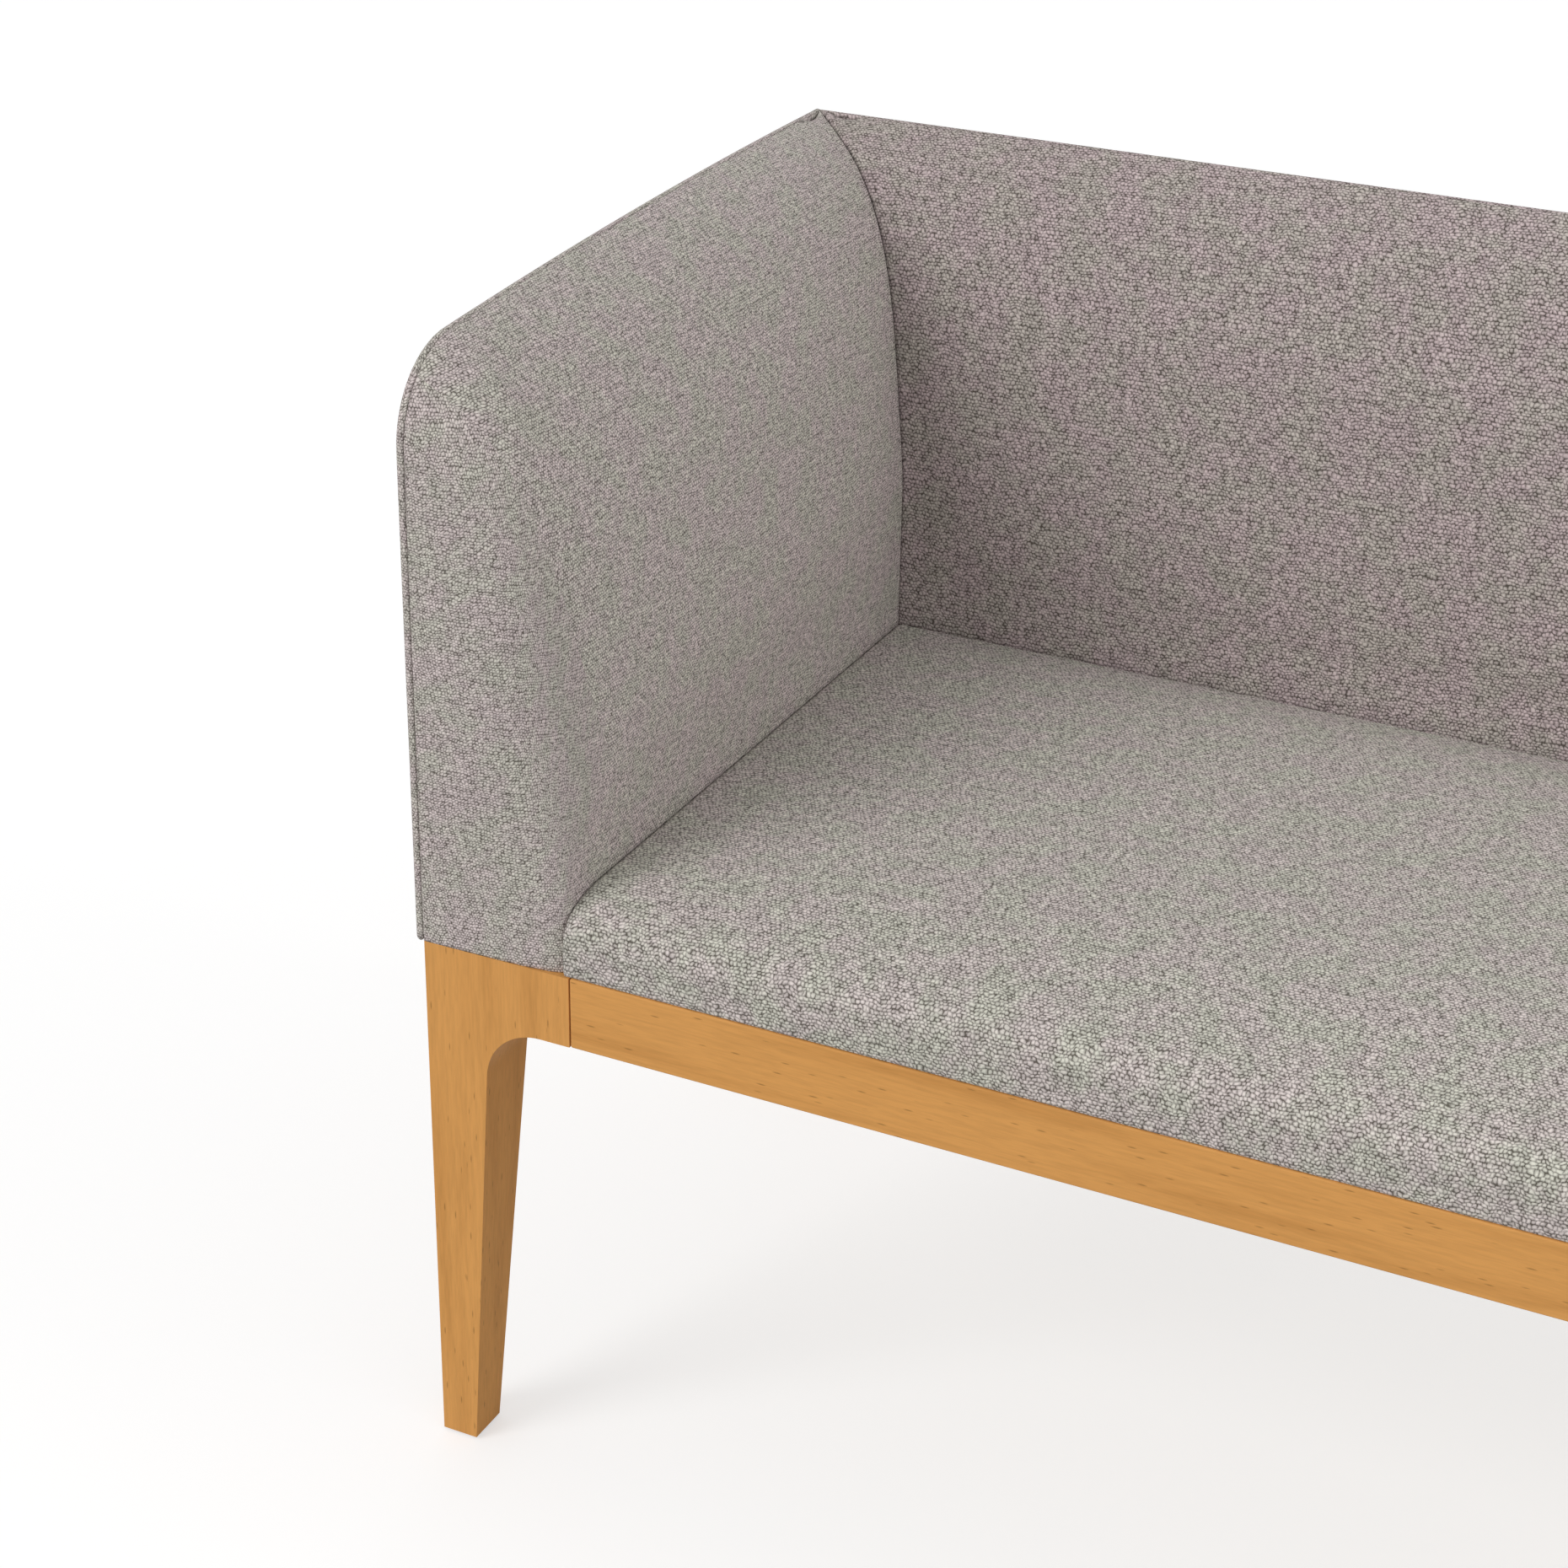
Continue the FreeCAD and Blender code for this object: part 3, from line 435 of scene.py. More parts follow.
# Section of a pad from the seam to its inner face: share of the depth, fall of the top, set-back of the
# free end at the waist and at the shoulder, all three in millimetres, and share of the corner radius.
PAD_SECTION = (
    (0.000, 0.0, 0.0, 0.0, 1.0),
    (0.270, 17.0, 0.2, 0.6, 1.0),
    (0.500, 38.5, 0.6, 2.5, 0.95),
    (0.700, 75.0, 1.2, 7.0, 0.9),
    (0.835, 123.0, 2.4, 15.0, 0.85),
    (0.930, 190.0, 4.0, 27.0, 0.8),
    (1.000, 250.0, 7.0, 44.0, 0.75),
)
# Outlines drawn for each row of the section
OUTLINES_PER_ROW = 2
# Steps of an outline round half its corner, up its free end and along its top
CORNER_STEPS = 6
FRONT_STEPS = 14
TOP_STEPS = {"side": 22, "back": 40}
# Rows lie closer together towards the foot.
ROW_BIAS = 1.6
# Each panel stops this far short of the mitre.
MITRE_GAP = 0.15 * MM
LEAST_RADIUS = 4 * MM
RIM_STEPS = 4
# Fabric is sewn down at the seam, along the mitre and below the seat's top; it comes free over these lengths.
SEAM_EASE = 12 * MM
MITRE_EASE = 25 * MM
SEAT_EASE = 40 * MM
ABOVE_SEAT = 12 * MM


def between(rows, place):
    """Catmull-Rom curve through rows of numbers, at a place counted in rows."""
    last = len(rows) - 1
    index = min(int(place), last - 1)
    t = place - index
    a, b, c, d = (np.array(rows[max(0, min(last, index + k))]) for k in (-1, 0, 1, 2))
    return tuple(0.5 * (2 * b + (c - a) * t + (2 * a - 5 * b + 4 * c - d) * t * t
                        + (3 * b - a - 3 * c + d) * t ** 3))


class PaddedPanel:
    """Padded panel with its own directions: u from the free end to the corner, v up, w into the room."""

    def __init__(self, name, start, along, inward, run, thickness, mitre, fall):
        self.name = name
        self.start = Vector(start)
        self.along = Vector(along)
        self.inward = Vector(inward)
        self.run = run
        self.thickness = thickness
        self.mitre = mitre
        self.fall = fall
        self.settings = bpy.context.scene.banquette_panel
        self.foot = SIDE_PAD_BOX[0].z
        self.peak = SIDE_PAD_BOX[1].z
        self.top_steps = TOP_STEPS[name]

    def at(self, u, v, w):
        """Place in the room of a point given in the panel's directions."""
        spot = self.start + self.along * u + self.inward * w
        return Vector((spot.x, spot.y, v))

    def end(self, w):
        """Where the mitre cuts the panel at depth w."""
        return self.run - self.mitre * (w + self.settings.wrap) / self.thickness

    def sides(self, w, drop, low, high, turn, inset=0.0):
        """Four sides of the outline at depth w: front and mitre upwards, foot and top towards the mitre."""
        radius = max(turn * self.settings.outline_radius - inset, LEAST_RADIUS)
        low, high = low + inset, high + inset
        crest = self.peak - drop - inset
        brow = crest - self.fall
        waist = self.foot + self.settings.waist
        end = self.end(w) - MITRE_GAP
        foot = self.foot + inset
        straight = FRONT_STEPS - CORNER_STEPS
        knee = brow - radius

        def corner(angle):
            return high + radius * (1 - math.cos(angle)), knee + radius * math.sin(angle)

        front = []
        for step in range(straight):
            v = foot + (knee - foot) * (step / straight) ** ROW_BIAS
            share = max(0.0, (v - waist) / (knee - waist))
            front.append((low + (high - low) * share, v))
        for step in range(CORNER_STEPS + 1):
            front.append(corner(math.pi / 4 * step / CORNER_STEPS))
        top = [corner(math.pi / 4 * (1 + step / CORNER_STEPS)) for step in range(CORNER_STEPS + 1)]
        for step in range(CORNER_STEPS + 1, self.top_steps + 1):
            share = (step - CORNER_STEPS) / (self.top_steps - CORNER_STEPS)
            u = high + radius + (end - high - radius) * share
            top.append((u, brow + self.fall * (1 - (1 - share) ** 2)))
        rise = top[-1][1] - foot
        mitre = [(end, foot + rise * (step / FRONT_STEPS) ** ROW_BIAS) for step in range(FRONT_STEPS + 1)]
        base = [(low + (end - low) * step / self.top_steps, foot) for step in range(self.top_steps + 1)]
        return front, mitre, base, top

    def spot(self, sides, w, i, j):
        """Point of the outline's inside at column i and row j, blended from its four sides."""
        front, mitre, base, top = sides
        s, t = i / self.top_steps, j / FRONT_STEPS
        spot = []
        for axis in (0, 1):
            across = (1 - s) * front[j][axis] + s * mitre[j][axis]
            up = (1 - t) * base[i][axis] + t * top[i][axis]
            corners = ((1 - s) * (1 - t) * base[0][axis] + s * (1 - t) * base[-1][axis]
                       + (1 - s) * t * top[0][axis] + s * t * top[-1][axis])
            spot.append(across + up - corners)
        return self.at(spot[0], spot[1], w)


def whole(faces):
    """Faces together with their edges and corners, as one region."""
    edges = {edge for face in faces for edge in face.edges}
    verts = {vert for face in faces for vert in face.verts}
    return [*faces, *edges, *verts]


def numbered_grid(columns, rows):
    """Flat grid whose corners know their column and row."""
    bm = bmesh.new()
    bmesh.ops.create_grid(bm, x_segments=columns, y_segments=rows, size=0.5)
    column = bm.verts.layers.int.new("column")
    row = bm.verts.layers.int.new("row")
    for vert in bm.verts:
        vert[column] = round((vert.co.x + 0.5) * columns)
        vert[row] = round((vert.co.y + 0.5) * rows)
    return bm, column, row


def extruded(bm, faces, first):
    """New faces drawn out of others; the first time the old ones stay, to close the shape."""
    made = bmesh.ops.extrude_face_region(bm, geom=whole(faces), use_keep_orig=first)
    return [item for item in made["geom"] if isinstance(item, bmesh.types.BMFace)]


def stacked(panel, rings):
    """Closed cage: a grid for the first outline, drawn out from outline to outline."""
    bm, column, row = numbered_grid(panel.top_steps, FRONT_STEPS)
    level = bm.verts.layers.int.new("level")
    current = list(bm.faces)
    for number, (w, sides) in enumerate(rings):
        if number:
            current = extruded(bm, current, number == 1)
        for vert in {vert for face in current for vert in face.verts}:
            vert[level] = number
            vert.co = panel.spot(sides, w, vert[column], vert[row])
    lay_cloth(panel, rings, bm, column, row, level)
    return bm, column, row, level


def lay_cloth(panel, rings, bm, column, row, level):
    """Cloth coordinates in metres: flat on the face, unrolled from there over the top and the free end."""
    cloth = bm.loops.layers.uv.new("cloth")
    last = len(rings) - 1
    runs = {}

    def unrolled(vert):
        """Length from here to the last outline, and the point there."""
        key = (vert[column], vert[row], vert[level])
        if key not in runs:
            track = [panel.spot(sides, w, *key[:2]) for w, sides in rings[key[2]:]]
            runs[key] = sum((b - a).length for a, b in zip(track, track[1:])), track[-1]
        return runs[key]

    for face in bm.faces:
        band = len({vert[level] for vert in face.verts}) > 1
        front = band and all(vert[column] == 0 for vert in face.verts)
        for loop in face.loops:
            vert = loop.vert
            u = (vert.co - panel.start).dot(panel.along)
            run, end = unrolled(vert) if band and vert[level] < last else (0.0, vert.co)
            if front:
                loop[cloth].uv = ((end - panel.start).dot(panel.along) - run, vert.co.z)
            else:
                loop[cloth].uv = (u, end.z + run)


def round_edges(bm, chosen, offset, segments):
    """Bevel chosen edges of a cage."""
    bmesh.ops.bevel(bm, geom=chosen, offset=offset, offset_type="OFFSET", segments=segments, profile=0.5,
                    affect="EDGES", material=-1, clamp_overlap=True)


def pad_cage(panel):
    """Pad from the seam over the dome to the flat inner face."""
    depth = panel.thickness - panel.settings.wrap
    count = (len(PAD_SECTION) - 1) * OUTLINES_PER_ROW
    rings = []
    for number in range(count + 1):
        share, drop, low, high, turn = between(PAD_SECTION, number / OUTLINES_PER_ROW)
        w = min(share, 1.0) * depth
        rings.append((w, panel.sides(w, drop * MM, low * MM, high * MM, turn)))
    bm, column, row, level = stacked(panel, rings)
    settings = panel.settings
    last = len(rings) - 1

    def on_seam(edge):
        return all(v[level] == 0 and (v[column] == 0 or v[row] == FRONT_STEPS) for v in edge.verts)

    def on_mitre(edge):
        crest = all(v[column] == panel.top_steps and v[row] == FRONT_STEPS for v in edge.verts)
        face = all(v[column] == panel.top_steps and v[level] == last for v in edge.verts)
        return crest or face

    def square(edge):
        behind = all(v[level] == 0 for v in edge.verts)
        below = all(v[row] == 0 for v in edge.verts)
        mitred = all(v[column] == panel.top_steps for v in edge.verts)
        free = all(v[column] == 0 for v in edge.verts)
        inner = all(v[level] == last for v in edge.verts)
        return behind and mitred or below and (behind or mitred or free or inner)

    crease = bm.edges.layers.float.new("crease_edge")
    for edge in bm.edges:
        edge[crease] = float(square(edge))
    seam = [edge for edge in bm.edges if on_seam(edge)]
    mitre = [edge for edge in bm.edges if on_mitre(edge)]
    round_edges(bm, mitre, settings.valley, 3)
    round_edges(bm, [edge for edge in seam if edge.is_valid], settings.seam, 2)
    return bm


def cover_cage(panel):
    """Flat outer cover, rounded into the seam on one side and over its rim on the other."""
    settings = panel.settings
    wrap, rim, seam = settings.wrap, settings.rim, settings.seam
    # Depth and inset of each outline: the seam's small rounding, then the rim
    stations = [(0.0, 3 * seam), (0.0, seam), (-0.3 * seam, 0.3 * seam), (-seam, 0.0)]
    for step in range(RIM_STEPS + 1):
        angle = math.pi / 2 * step / RIM_STEPS
        stations.append((rim * (1 - math.sin(angle)) - wrap, rim * (1 - math.cos(angle))))
    rings = [(w, panel.sides(w, 0, 0, 0, 1, inset)) for w, inset in stations]
    bm, column, row, level = stacked(panel, rings)
    last = len(rings) - 1

    def square(edge):
        """Edges of the mitre face and of the foot stay square."""
        mitred = all(v[column] == panel.top_steps for v in edge.verts)
        below = all(v[row] == 0 for v in edge.verts)
        free = all(v[column] == 0 for v in edge.verts)
        above = all(v[row] == FRONT_STEPS for v in edge.verts)
        flat = all(v[level] == 0 for v in edge.verts) or all(v[level] == last for v in edge.verts)
        return mitred and (above or below or flat) or below and free

    crease = bm.edges.layers.float.new("crease_edge")
    for edge in bm.edges:
        edge[crease] = float(square(edge))
    corner = [edge for edge in bm.edges
              if all(v[column] == panel.top_steps and v[level] == last for v in edge.verts)]
    round_edges(bm, corner, settings.valley, 2)
    return bm


def side_panel():
    """Side, from its free front end to the corner."""
    settings = bpy.context.scene.banquette_panel
    low, high = SIDE_COVER_BOX
    return PaddedPanel("side", (low.x + settings.wrap, low.y, 0), (0, 1, 0), (1, 0, 0), high.y - low.y,
                       settings.side_thickness, settings.back_thickness, settings.side_fall)


def back_panel():
    """Back, from its free right end to the corner."""
    settings = bpy.context.scene.banquette_panel
    low, high = BACK_COVER_BOX
    return PaddedPanel("back", (high.x, high.y - settings.wrap, 0), (-1, 0, 0), (0, -1, 0), high.x - low.x,
                       settings.back_thickness, settings.side_thickness, 0.0)


def dress_panel(panel):
    """Pad and outer cover of one panel."""
    name = panel.name
    cloth = woven_crepe(name)
    pad = piece(name + "_pad", pad_cage(panel), cloth, "cloth", name + "_inner_cover", name + "_foam")
    smoothed(pad, 1)
    held_top = SEAT_BOX[1].z + ABOVE_SEAT

    def held(spot):
        w = (spot - panel.start).dot(panel.inward)
        u = (spot - panel.start).dot(panel.along)
        free = min(w / SEAM_EASE, (panel.end(w) - u) / MITRE_EASE, (spot.z - held_top) / SEAT_EASE)
        return 1.0 - max(0.0, min(1.0, free))

    swollen(pad, panel.settings.swell, held)
    smoothed(pad, 1)
    cover = piece(name + "_back_cloth", cover_cage(panel), cloth, "cloth", name + "_outer_cover")
    smoothed(cover, 1)


class BANQUETTE_OT_side(bpy.types.Operator):
    """Padded side panel with its outer cover"""
    bl_idname = "banquette.side"
    bl_label = "Side panel"

    def execute(self, context):
        dress_panel(side_panel())
        return {"FINISHED"}


class BANQUETTE_OT_back(bpy.types.Operator):
    """Padded back panel with its outer cover"""
    bl_idname = "banquette.back"
    bl_label = "Back panel"

    def execute(self, context):
        dress_panel(back_panel())
        return {"FINISHED"}


# Seat

SEAT_COLUMNS = 64
SEAT_ROWS = 34
ROLL_STEPS = 6
# Powers that shape the crown along the seat and across it: the higher, the flatter its middle
CROWN_ALONG = 3
CROWN_ACROSS = 2.5
# Fabric is sewn down below this height and at the edges, and comes free over a short length.
BASE_HELD = 20 * MM
EDGE_HELD = 2 * MM
EDGE_EASE = 30 * MM
# Edge of the seat below its rolls, from the base up: share of the height, tuck towards the middle
SEAT_EDGE = ((0.0, 2.5 * MM), (0.03, 0.8 * MM), (0.14, 0.0), (0.5, 0.0))


def spaced(low, high, first_roll, last_roll, steps, first_reach=None):
    """Places from one edge to the other, close together over the rolls; and the fall at each."""
    first_reach = first_reach or first_roll
    places = []
    plain = steps - 2 * ROLL_STEPS
    for step in range(steps + 1):
        if step < ROLL_STEPS:
            angle = math.pi / 2 * step / ROLL_STEPS
            places.append((low + first_reach * (1 - math.cos(angle)), first_roll * (1 - math.sin(angle))))
        elif step > steps - ROLL_STEPS:
            angle = math.pi / 2 * (steps - step) / ROLL_STEPS
            places.append((high - last_roll * (1 - math.cos(angle)), last_roll * (1 - math.sin(angle))))
        else:
            share = (step - ROLL_STEPS) / plain
            places.append((low + first_reach + (high - last_roll - low - first_reach) * share, 0.0))
    return places


def unrolled_places(places):
    """Lengths along a rolled row of places."""
    runs = [0.0]
    for (a, fall_a), (b, fall_b) in zip(places, places[1:]):
        runs.append(runs[-1] + math.hypot(b - a, fall_b - fall_a))
    return runs


def outward(number, last):
    """Way out of a grid: one at its last row or column, minus one at its first, zero inside."""
    return 1 if number == last else -1 if number == 0 else 0


def seat_cage(seat, low, high):
    """Closed cage: a flat grid at the base, drawn up the edge and over the rolls to the crowned top."""
    top = low.z + seat.thickness
    across = spaced(low.x, high.x, seat.side_roll, seat.end_roll, SEAT_COLUMNS)
    back = spaced(low.y, high.y, seat.front_roll, seat.rear_roll, SEAT_ROWS, seat.front_reach)

    def crowned(column, row):
        (x, side_fall), (y, front_fall) = across[column], back[row]
        s = 2 * (x - low.x) / (high.x - low.x) - 1
        t = 2 * (y - low.y) / (high.y - low.y) - 1
        rise = seat.crown * (1 - abs(s) ** CROWN_ALONG) * (1 - abs(t) ** CROWN_ACROSS)
        return Vector((x, y, top + rise - math.hypot(side_fall, front_fall)))

    def edge(column, row, share, tuck):
        spot = crowned(column, row)
        spot.z = low.z + (spot.z - low.z) * share
        spot.x -= tuck * outward(column, SEAT_COLUMNS)
        spot.y -= tuck * outward(row, SEAT_ROWS)
        return spot

    bm, column, row = numbered_grid(SEAT_COLUMNS, SEAT_ROWS)
    for vert in bm.verts:
        vert.co = edge(vert[column], vert[row], *SEAT_EDGE[0])
    current = list(bm.faces)
    for number in range(1, len(SEAT_EDGE) + 1):
        current = extruded(bm, current, number == 1)
        for vert in {vert for face in current for vert in face.verts}:
            place = (vert[column], vert[row])
            vert.co = edge(*place, *SEAT_EDGE[number]) if number < len(SEAT_EDGE) else crowned(*place)
    x_runs, y_runs = unrolled_places(across), unrolled_places(back)
    cloth = bm.loops.layers.uv.new("cloth")
    for face in bm.faces:
        rows = {vert[row] for vert in face.verts}
        columns = {vert[column] for vert in face.verts}
        x_way = outward(columns.pop(), SEAT_COLUMNS) if len(columns) == 1 else 0
        y_way = outward(rows.pop(), SEAT_ROWS) if len(rows) == 1 else 0
        for loop in face.loops:
            vert = loop.vert
            down = crowned(vert[column], vert[row]).z - vert.co.z
            loop[cloth].uv = (x_runs[vert[column]] + x_way * down, y_runs[vert[row]] + y_way * down)
    return bm


class BANQUETTE_OT_seat(bpy.types.Operator):
    """Padded seat with a rolled front edge"""
    bl_idname = "banquette.seat"
    bl_label = "Seat"

    def execute(self, context):
        seat = context.scene.banquette_seat
        low, high = SEAT_BOX
        cloth = woven_crepe("seat")
        pad = piece("seat_pad", seat_cage(seat, low, high), cloth, "cloth", "seat_cover", "seat_foam")

        def held(spot):
            if spot.z <= low.z + BASE_HELD:
                return 1.0
            edge = min(spot.x - low.x, high.x - spot.x, spot.y - low.y, high.y - spot.y)
            return 1.0 - max(0.0, min(1.0, (edge - EDGE_HELD) / EDGE_EASE))

        swollen(pad, seat.swell, held)
        smoothed(pad, 2)
        return {"FINISHED"}


# Timber base

ARC_STEPS = 16
ARRIS_SEGMENTS = 3
# Edges that turn more than the first are rounded; flat faces that turn less than the second become one.
SHARP_ANGLE = math.radians(25)
FLAT_ANGLE = math.radians(1)
WELD = 0.001 * MM
# A cutter reaches this far past the wood.
CUT_PAST = 0.1
# Cuts along a rail, and the shortest edge that counts as long
RAIL_CUTS = 8
LONG_EDGE = 0.1


def swept_outline(foot, knee, shoulder, sweep, under, top):
    """Corner points of a leg seen from one side: foot, taper, sweep, shoulder."""
    taper = Vector((knee - foot, under))
    along = taper.normalized()
    across = Vector((along.y, -along.x))
    run = (under - sweep - across.y * sweep) / along.y
    leave = Vector((foot, 0)) + along * run
    centre = leave + across * sweep
    start = math.atan2(leave.y - centre.y, leave.x - centre.x)
    turn = (math.pi / 2 - start) / ARC_STEPS
    angles = [start + turn * step for step in range(ARC_STEPS + 1)]
    arc = [centre + sweep * Vector((math.cos(angle), math.sin(angle))) for angle in angles]
    shoulder_end = [Vector((shoulder, under)), Vector((shoulder, top)), Vector((0, top))]
    return [Vector((0, 0)), Vector((foot, 0)), *arc, *shoulder_end]


def slab(points, place, way, thickness):
    """Prism over an outline; place maps a point of the outline into space."""
    bm = bmesh.new()
    face = bm.faces.new([bm.verts.new(place(point)) for point in points])
    made = bmesh.ops.extrude_face_region(bm, geom=[face], use_keep_orig=True)["geom"]
    moved = [item for item in made if isinstance(item, bmesh.types.BMVert)]
    bmesh.ops.translate(bm, verts=moved, vec=Vector(way) * thickness)
    bmesh.ops.recalc_face_normals(bm, faces=bm.faces)
    return bm


def scratch_object(bm):
    """Object that lasts only while a leg is carved."""
    mesh = bpy.data.meshes.new("scratch")
    bm.to_mesh(mesh)
    bm.free()
    item = bpy.data.objects.new("scratch", mesh)
    bpy.context.scene.collection.objects.link(item)
    return item


def carved(item, other, operation):
    """Intersect or cut one scratch object with another."""
    made = item.modifiers.new("carve", "BOOLEAN")
    made.operation = operation
    made.solver = "EXACT"
    made.object = other
    applied(item)
    bpy.data.objects.remove(other)
    if not item.data.polygons:
        raise RuntimeError("carving left nothing of the leg")


def leg_mesh(timber):
    """Front left leg, its outer corner at the origin and its foot at zero."""
    top = LEG_BOX[1].z - LEG_BOX[0].z
    under = top - timber.rail_height
    front = swept_outline(timber.foot_width, timber.knee_width, timber.shoulder, timber.sweep, under, top)
    side = swept_outline(timber.foot_depth, timber.knee_depth, timber.shoulder, timber.sweep, under, top)
    post = scratch_object(slab(front, lambda p: (p.x, 0, p.y), (0, 1, 0), timber.shoulder))
    flank = scratch_object(slab(side, lambda p: (0, p.x, p.y), (1, 0, 0), timber.shoulder))
    carved(post, flank, "INTERSECT")
    thin, far = timber.rail_thickness, 2 * timber.shoulder
    plan = [Vector(p) for p in ((timber.knee_width, thin), (far, thin), (far, far), (thin, far),
                                (thin, timber.knee_depth), (timber.knee_width, timber.knee_depth))]
    waste = scratch_object(slab(plan, lambda p: (p.x, p.y, -CUT_PAST), (0, 0, 1), top + 2 * CUT_PAST))
    carved(post, waste, "DIFFERENCE")
    bm = bmesh.new()
    bm.from_mesh(post.data)
    bpy.data.objects.remove(post)
    bmesh.ops.remove_doubles(bm, verts=bm.verts, dist=WELD)
    bmesh.ops.dissolve_limit(bm, angle_limit=FLAT_ANGLE, verts=bm.verts, edges=bm.edges)
    return bm


def rounded(item, width):
    """Live bevel on the sharp edges of a piece of timber."""
    made = item.modifiers.new("arris", "BEVEL")
    made.width = width
    made.segments = ARRIS_SEGMENTS
    made.limit_method = "ANGLE"
    made.angle_limit = SHARP_ANGLE
    made.harden_normals = True


class BANQUETTE_OT_legs(bpy.types.Operator):
    """Four tapered legs with shoulders swept into both rails"""
    bl_idname = "banquette.legs"
    bl_label = "Legs"

    def execute(self, context):
        timber = context.scene.banquette_timber
        finish = lacquered_timber("lacquered_timber_upright", 2)
        source = leg_mesh(timber)
        for label in ("front_left_leg", "front_right_leg", "rear_left_leg", "rear_right_leg"):
            low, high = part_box(label)
            right, rear = "right" in label, "rear" in label
            bm = source.copy()
            flip = Matrix.Diagonal((-1 if right else 1, -1 if rear else 1, 1, 1))
            corner = Vector((high.x if right else low.x, high.y if rear else low.y, low.z))
            bmesh.ops.transform(bm, matrix=Matrix.Translation(corner) @ flip, verts=bm.verts)
            item = piece(label.replace("leg", "swept_leg"), bm, finish, "show_timber", label)
            rounded(item, timber.arris)
        source.free()
        return {"FINISHED"}


class BANQUETTE_OT_rails(bpy.types.Operator):
    """Rails between the legs, eased at the joints"""
    bl_idname = "banquette.rails"
    bl_label = "Rails"

    def execute(self, context):
        timber = context.scene.banquette_timber
        names = ("lacquered_timber_long", "lacquered_timber_deep")
        finishes = [lacquered_timber(name, grain) for grain, name in enumerate(names)]
        for label in ("front_rail", "rear_rail", "left_rail", "right_rail"):
            low, high = (corner.copy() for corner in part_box(label))
            axis = 0 if label in ("front_rail", "rear_rail") else 1
            low[axis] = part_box("front_left_leg")[1][axis] + timber.joint_gap
            high[axis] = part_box("rear_right_leg")[0][axis] - timber.joint_gap
            bm = bmesh.new()
            bmesh.ops.create_cube(bm, size=1.0)
            bmesh.ops.scale(bm, vec=high - low, verts=bm.verts)
            bmesh.ops.translate(bm, vec=(low + high) / 2, verts=bm.verts)
            long_edges = [edge for edge in bm.edges if edge.calc_length() > LONG_EDGE]
            bmesh.ops.subdivide_edges(bm, edges=long_edges, cuts=RAIL_CUTS, use_grid_fill=True)
            item = piece(label.replace("rail", "eased_rail"), bm, finishes[axis], "show_timber", label)
            rounded(item, timber.joint_ease)
        return {"FINISHED"}


# Pieces carried over from the part

# For each slot of the part: material's name, its two colours, patterns for each metre, roughness, metallic
INSIDE = {
    "frame_timber": ("sawn_pine", "CDB083", "B8935F", 60.0, 0.8, 0.0),
    "plywood": ("birch_plywood", "D6BE95", "BFA272", 90.0, 0.75, 0.0),
    "steel": ("zinc_plated_steel", "B9BBBD", "9C9EA0", 200.0, 0.35, 1.0),
    "nylon": ("moulded_nylon", "3A3A3A", "2E2E2E", 300.0, 0.55, 0.0),
}


class BANQUETTE_OT_inside(bpy.types.Operator):
    """Frame, boards, screws and glides carried over from the part"""
    bl_idname = "banquette.inside"
    bl_label = "Inside"

    def execute(self, context):
        stuffs = {slot: plain_stuff(*facts) for slot, facts in INSIDE.items()}
        for entry in frame["record"]["subparts"]:
            stuff = stuffs.get(entry["material_slot"])
            if stuff is None:
                continue
            mesh = frame["nodes"][entry["node"]].data
            mesh.materials.clear()
            mesh.materials.append(stuff)
        return {"FINISHED"}


# Stage

# Camera fitted to the photograph: lens and sensor in millimetres, places in metres, turns in radians
LENS = 73.32
SENSOR = 36.0
CLIP_END = 100.0
CAMERA_PLACE = (0.422755, -1.862013, 1.439381)
CAMERA_YAW = 0.4524924571
CAMERA_PITCH = 0.459136376
CAMERA_ROLL = 0.0149522819
# Floor: its size, its own glow and the glow's share, how pale it is to the camera and to bounced light
FLOOR_SIZE = 30.0
FLOOR_GLOW = 1.38
FLOOR_SHARE = 0.4
FLOOR_PALE = 0.95
FLOOR_BOUNCE = 0.8
# Light of the white room at the horizon and overhead
SKY_EDGE = 0.98
SKY_TOP = 0.42
WHITE = (1, 1, 1, 1)
KEY_PLACE = (-1.6, -2.4, 2.2)
KEY_TARGET = (0, 0, 0.4)
KEY_STRENGTH = 1.15
KEY_ANGLE = math.radians(30)
SIDE_PLACE = (1.6, 0.15, 1.7)
SIDE_TARGET = (-0.45, 0, 0.55)
SIDE_POWER = 8.0
SIDE_SIZE = 1.0


def camera_turn():
    """Turn of the camera from its heading, tilt and roll."""
    yaw, pitch, roll = CAMERA_YAW, CAMERA_PITCH, CAMERA_ROLL
    ahead = Vector((-math.sin(yaw) * math.cos(pitch), math.cos(yaw) * math.cos(pitch), -math.sin(pitch)))
    right = Vector((math.cos(yaw), math.sin(yaw), 0))
    up = right.cross(ahead)
    x = math.cos(roll) * right + math.sin(roll) * up
    y = math.cos(roll) * up - math.sin(roll) * right
    return Matrix((x, y, -ahead)).transposed().to_4x4()


def lamp(name, kind, place, target, strength, **settings):
    """Studio lamp aimed at a target; a sun's strength is in watts per square metre, an area's in watts."""
    light = bpy.data.lights.new(name, kind)
    light.energy = strength
    for key, value in settings.items():
        setattr(light, key, value)
    item = bpy.data.objects.new(name, light)
    item.location = place
    item.rotation_euler = (Vector(target) - Vector(place)).to_track_quat("-Z", "Y").to_euler()
    item.visible_camera = False
    bpy.context.scene.collection.objects.link(item)


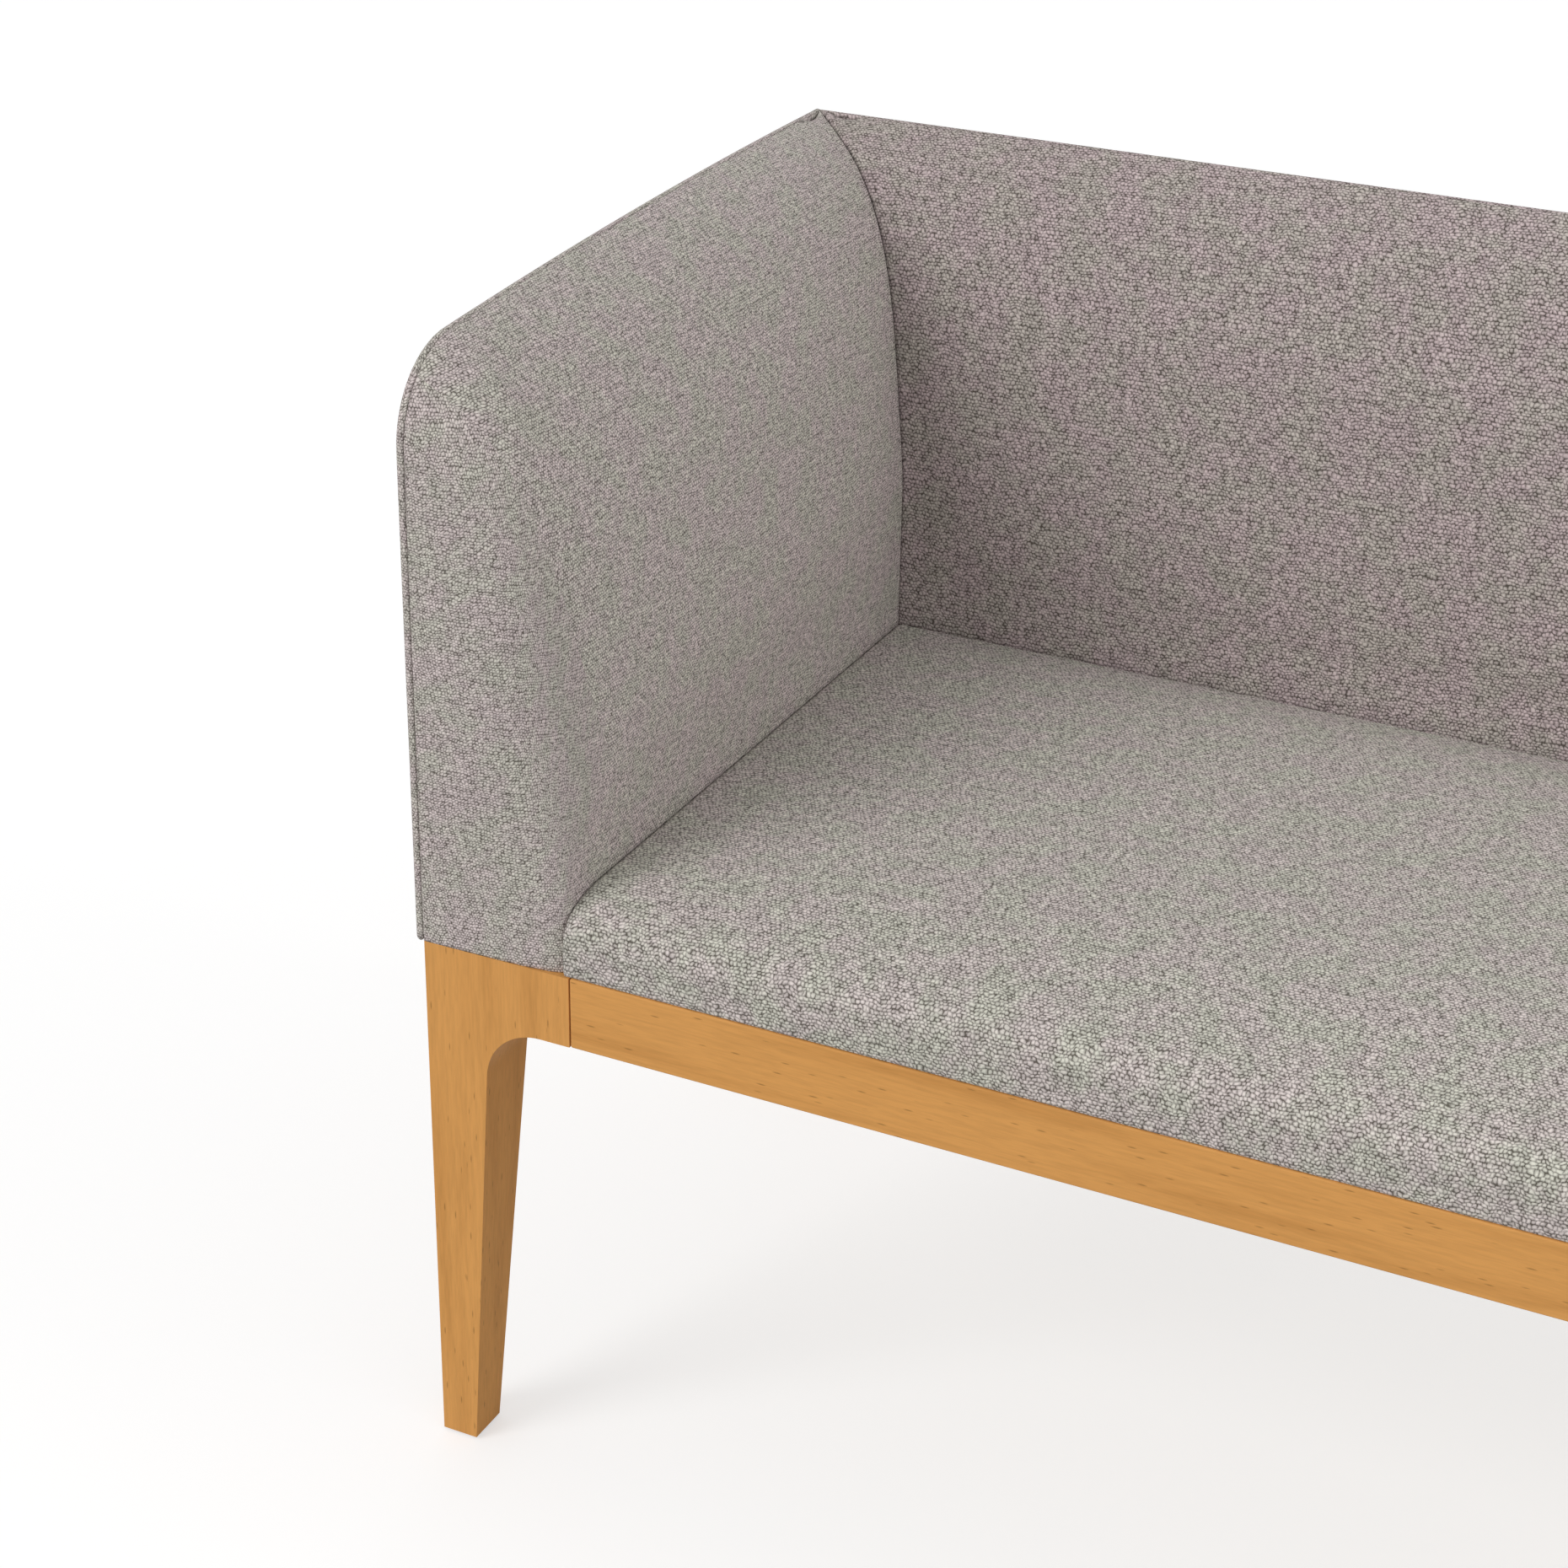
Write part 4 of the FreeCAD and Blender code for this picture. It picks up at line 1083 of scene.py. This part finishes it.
def seen_directly(tree):
    """One where a ray comes from the camera, a mirror or a pane, else zero."""
    rays = node(tree, "ShaderNodeLightPath").outputs
    shiny = sums(tree, "MAXIMUM", rays["Is Camera Ray"], rays["Is Glossy Ray"])
    return sums(tree, "MAXIMUM", shiny, rays["Is Transmission Ray"])


def pale_floor():
    """Matt white studio floor, evened out by a glow of its own that lights nothing else."""
    material, tree = new_material("pale_floor")
    direct = seen_directly(tree)
    paint = node(tree, "ShaderNodeMapRange", {"Value": direct}, i_To_Min=FLOOR_BOUNCE, i_To_Max=FLOOR_PALE)
    matt = node(tree, "ShaderNodeBsdfDiffuse", {"Color": paint.outputs[0]})
    glow = node(tree, "ShaderNodeEmission", {"Strength": sums(tree, "MULTIPLY", direct, FLOOR_GLOW)})
    both = node(tree, "ShaderNodeMixShader", {1: matt.outputs[0], 2: glow.outputs[0]}, i_0=FLOOR_SHARE)
    node(tree, "ShaderNodeOutputMaterial", {"Surface": both.outputs[0]})
    return material


def lay_floor(scene):
    """Large flat floor under the feet."""
    bm = bmesh.new()
    bmesh.ops.create_grid(bm, x_segments=1, y_segments=1, size=FLOOR_SIZE / 2)
    mesh = bpy.data.meshes.new("floor")
    bm.to_mesh(mesh)
    bm.free()
    floor = bpy.data.objects.new("floor", mesh)
    scene.collection.objects.link(floor)
    mesh.materials.append(pale_floor())


def surround(scene):
    """White room: plain white where it is seen, softer overhead where it gives light."""
    world = bpy.data.worlds.new("white_room")
    scene.world = world
    world.use_nodes = True
    tree = world.node_tree
    tree.nodes.clear()
    way = node(tree, "ShaderNodeTexCoord").outputs["Generated"]
    rise = node(tree, "ShaderNodeSeparateXYZ", {"Vector": way}).outputs["Z"]
    level = node(tree, "ShaderNodeMapRange", {"Value": rise}, i_To_Min=SKY_EDGE, i_To_Max=SKY_TOP).outputs[0]
    dim = node(tree, "ShaderNodeBackground", {"Strength": level}, i_Color=WHITE).outputs[0]
    white = node(tree, "ShaderNodeBackground", i_Color=WHITE, i_Strength=1.0).outputs[0]
    mix = node(tree, "ShaderNodeMixShader", {0: seen_directly(tree), 1: dim, 2: white})
    node(tree, "ShaderNodeOutputWorld", {"Surface": mix.outputs[0]})


def place_camera(scene):
    """Camera at the photograph's viewing angle."""
    lens = bpy.data.cameras.new("camera")
    lens.lens = LENS
    lens.sensor_width = SENSOR
    lens.clip_end = CLIP_END
    camera = bpy.data.objects.new("camera", lens)
    camera.matrix_world = Matrix.Translation(CAMERA_PLACE) @ camera_turn()
    scene.collection.objects.link(camera)
    scene.camera = camera


class BANQUETTE_OT_stage(bpy.types.Operator):
    """Pale floor, soft lamps, white surroundings and the camera"""
    bl_idname = "banquette.stage"
    bl_label = "Stage"

    def execute(self, context):
        scene = context.scene
        scene.view_settings.view_transform = "Standard"
        lay_floor(scene)
        surround(scene)
        lamp("key", "SUN", KEY_PLACE, KEY_TARGET, KEY_STRENGTH, angle=KEY_ANGLE)
        lamp("side", "AREA", SIDE_PLACE, SIDE_TARGET, SIDE_POWER, shape="DISK", size=SIDE_SIZE)
        place_camera(scene)
        return {"FINISHED"}


class BANQUETTE_PT_panel(bpy.types.Panel):
    """Steps that dress the banquette"""
    bl_label = "Corner banquette"
    bl_idname = "BANQUETTE_PT_panel"
    bl_space_type = "VIEW_3D"
    bl_region_type = "UI"
    bl_category = "Banquette"

    def draw(self, context):
        for step in STEPS_IN_ORDER:
            self.layout.operator(step.bl_idname)
        for name in SETTINGS:
            group = getattr(context.scene, name)
            for key in group.__annotations__:
                self.layout.prop(group, key)


STEPS_IN_ORDER = (
    BANQUETTE_OT_inside,
    BANQUETTE_OT_legs,
    BANQUETTE_OT_rails,
    BANQUETTE_OT_side,
    BANQUETTE_OT_back,
    BANQUETTE_OT_seat,
    BANQUETTE_OT_stage,
)
SETTINGS = {
    "banquette_timber": TimberSettings,
    "banquette_panel": PanelSettings,
    "banquette_seat": SeatSettings,
    "banquette_cloth": ClothSettings,
}
CLASSES = (*SETTINGS.values(), *STEPS_IN_ORDER, BANQUETTE_PT_panel)


def register():
    for item in CLASSES:
        bpy.utils.register_class(item)
    for name, group in SETTINGS.items():
        setattr(bpy.types.Scene, name, bpy.props.PointerProperty(type=group))


def unregister():
    for name in SETTINGS:
        delattr(bpy.types.Scene, name)
    for item in reversed(CLASSES):
        bpy.utils.unregister_class(item)


def main():
    """Register the add-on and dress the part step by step."""
    register()
    bpy.ops.banquette.inside()
    bpy.ops.banquette.legs()
    bpy.ops.banquette.rails()
    bpy.ops.banquette.side()
    bpy.ops.banquette.back()
    bpy.ops.banquette.seat()
    bpy.ops.banquette.stage()


if __name__ == "__main__":
    main()
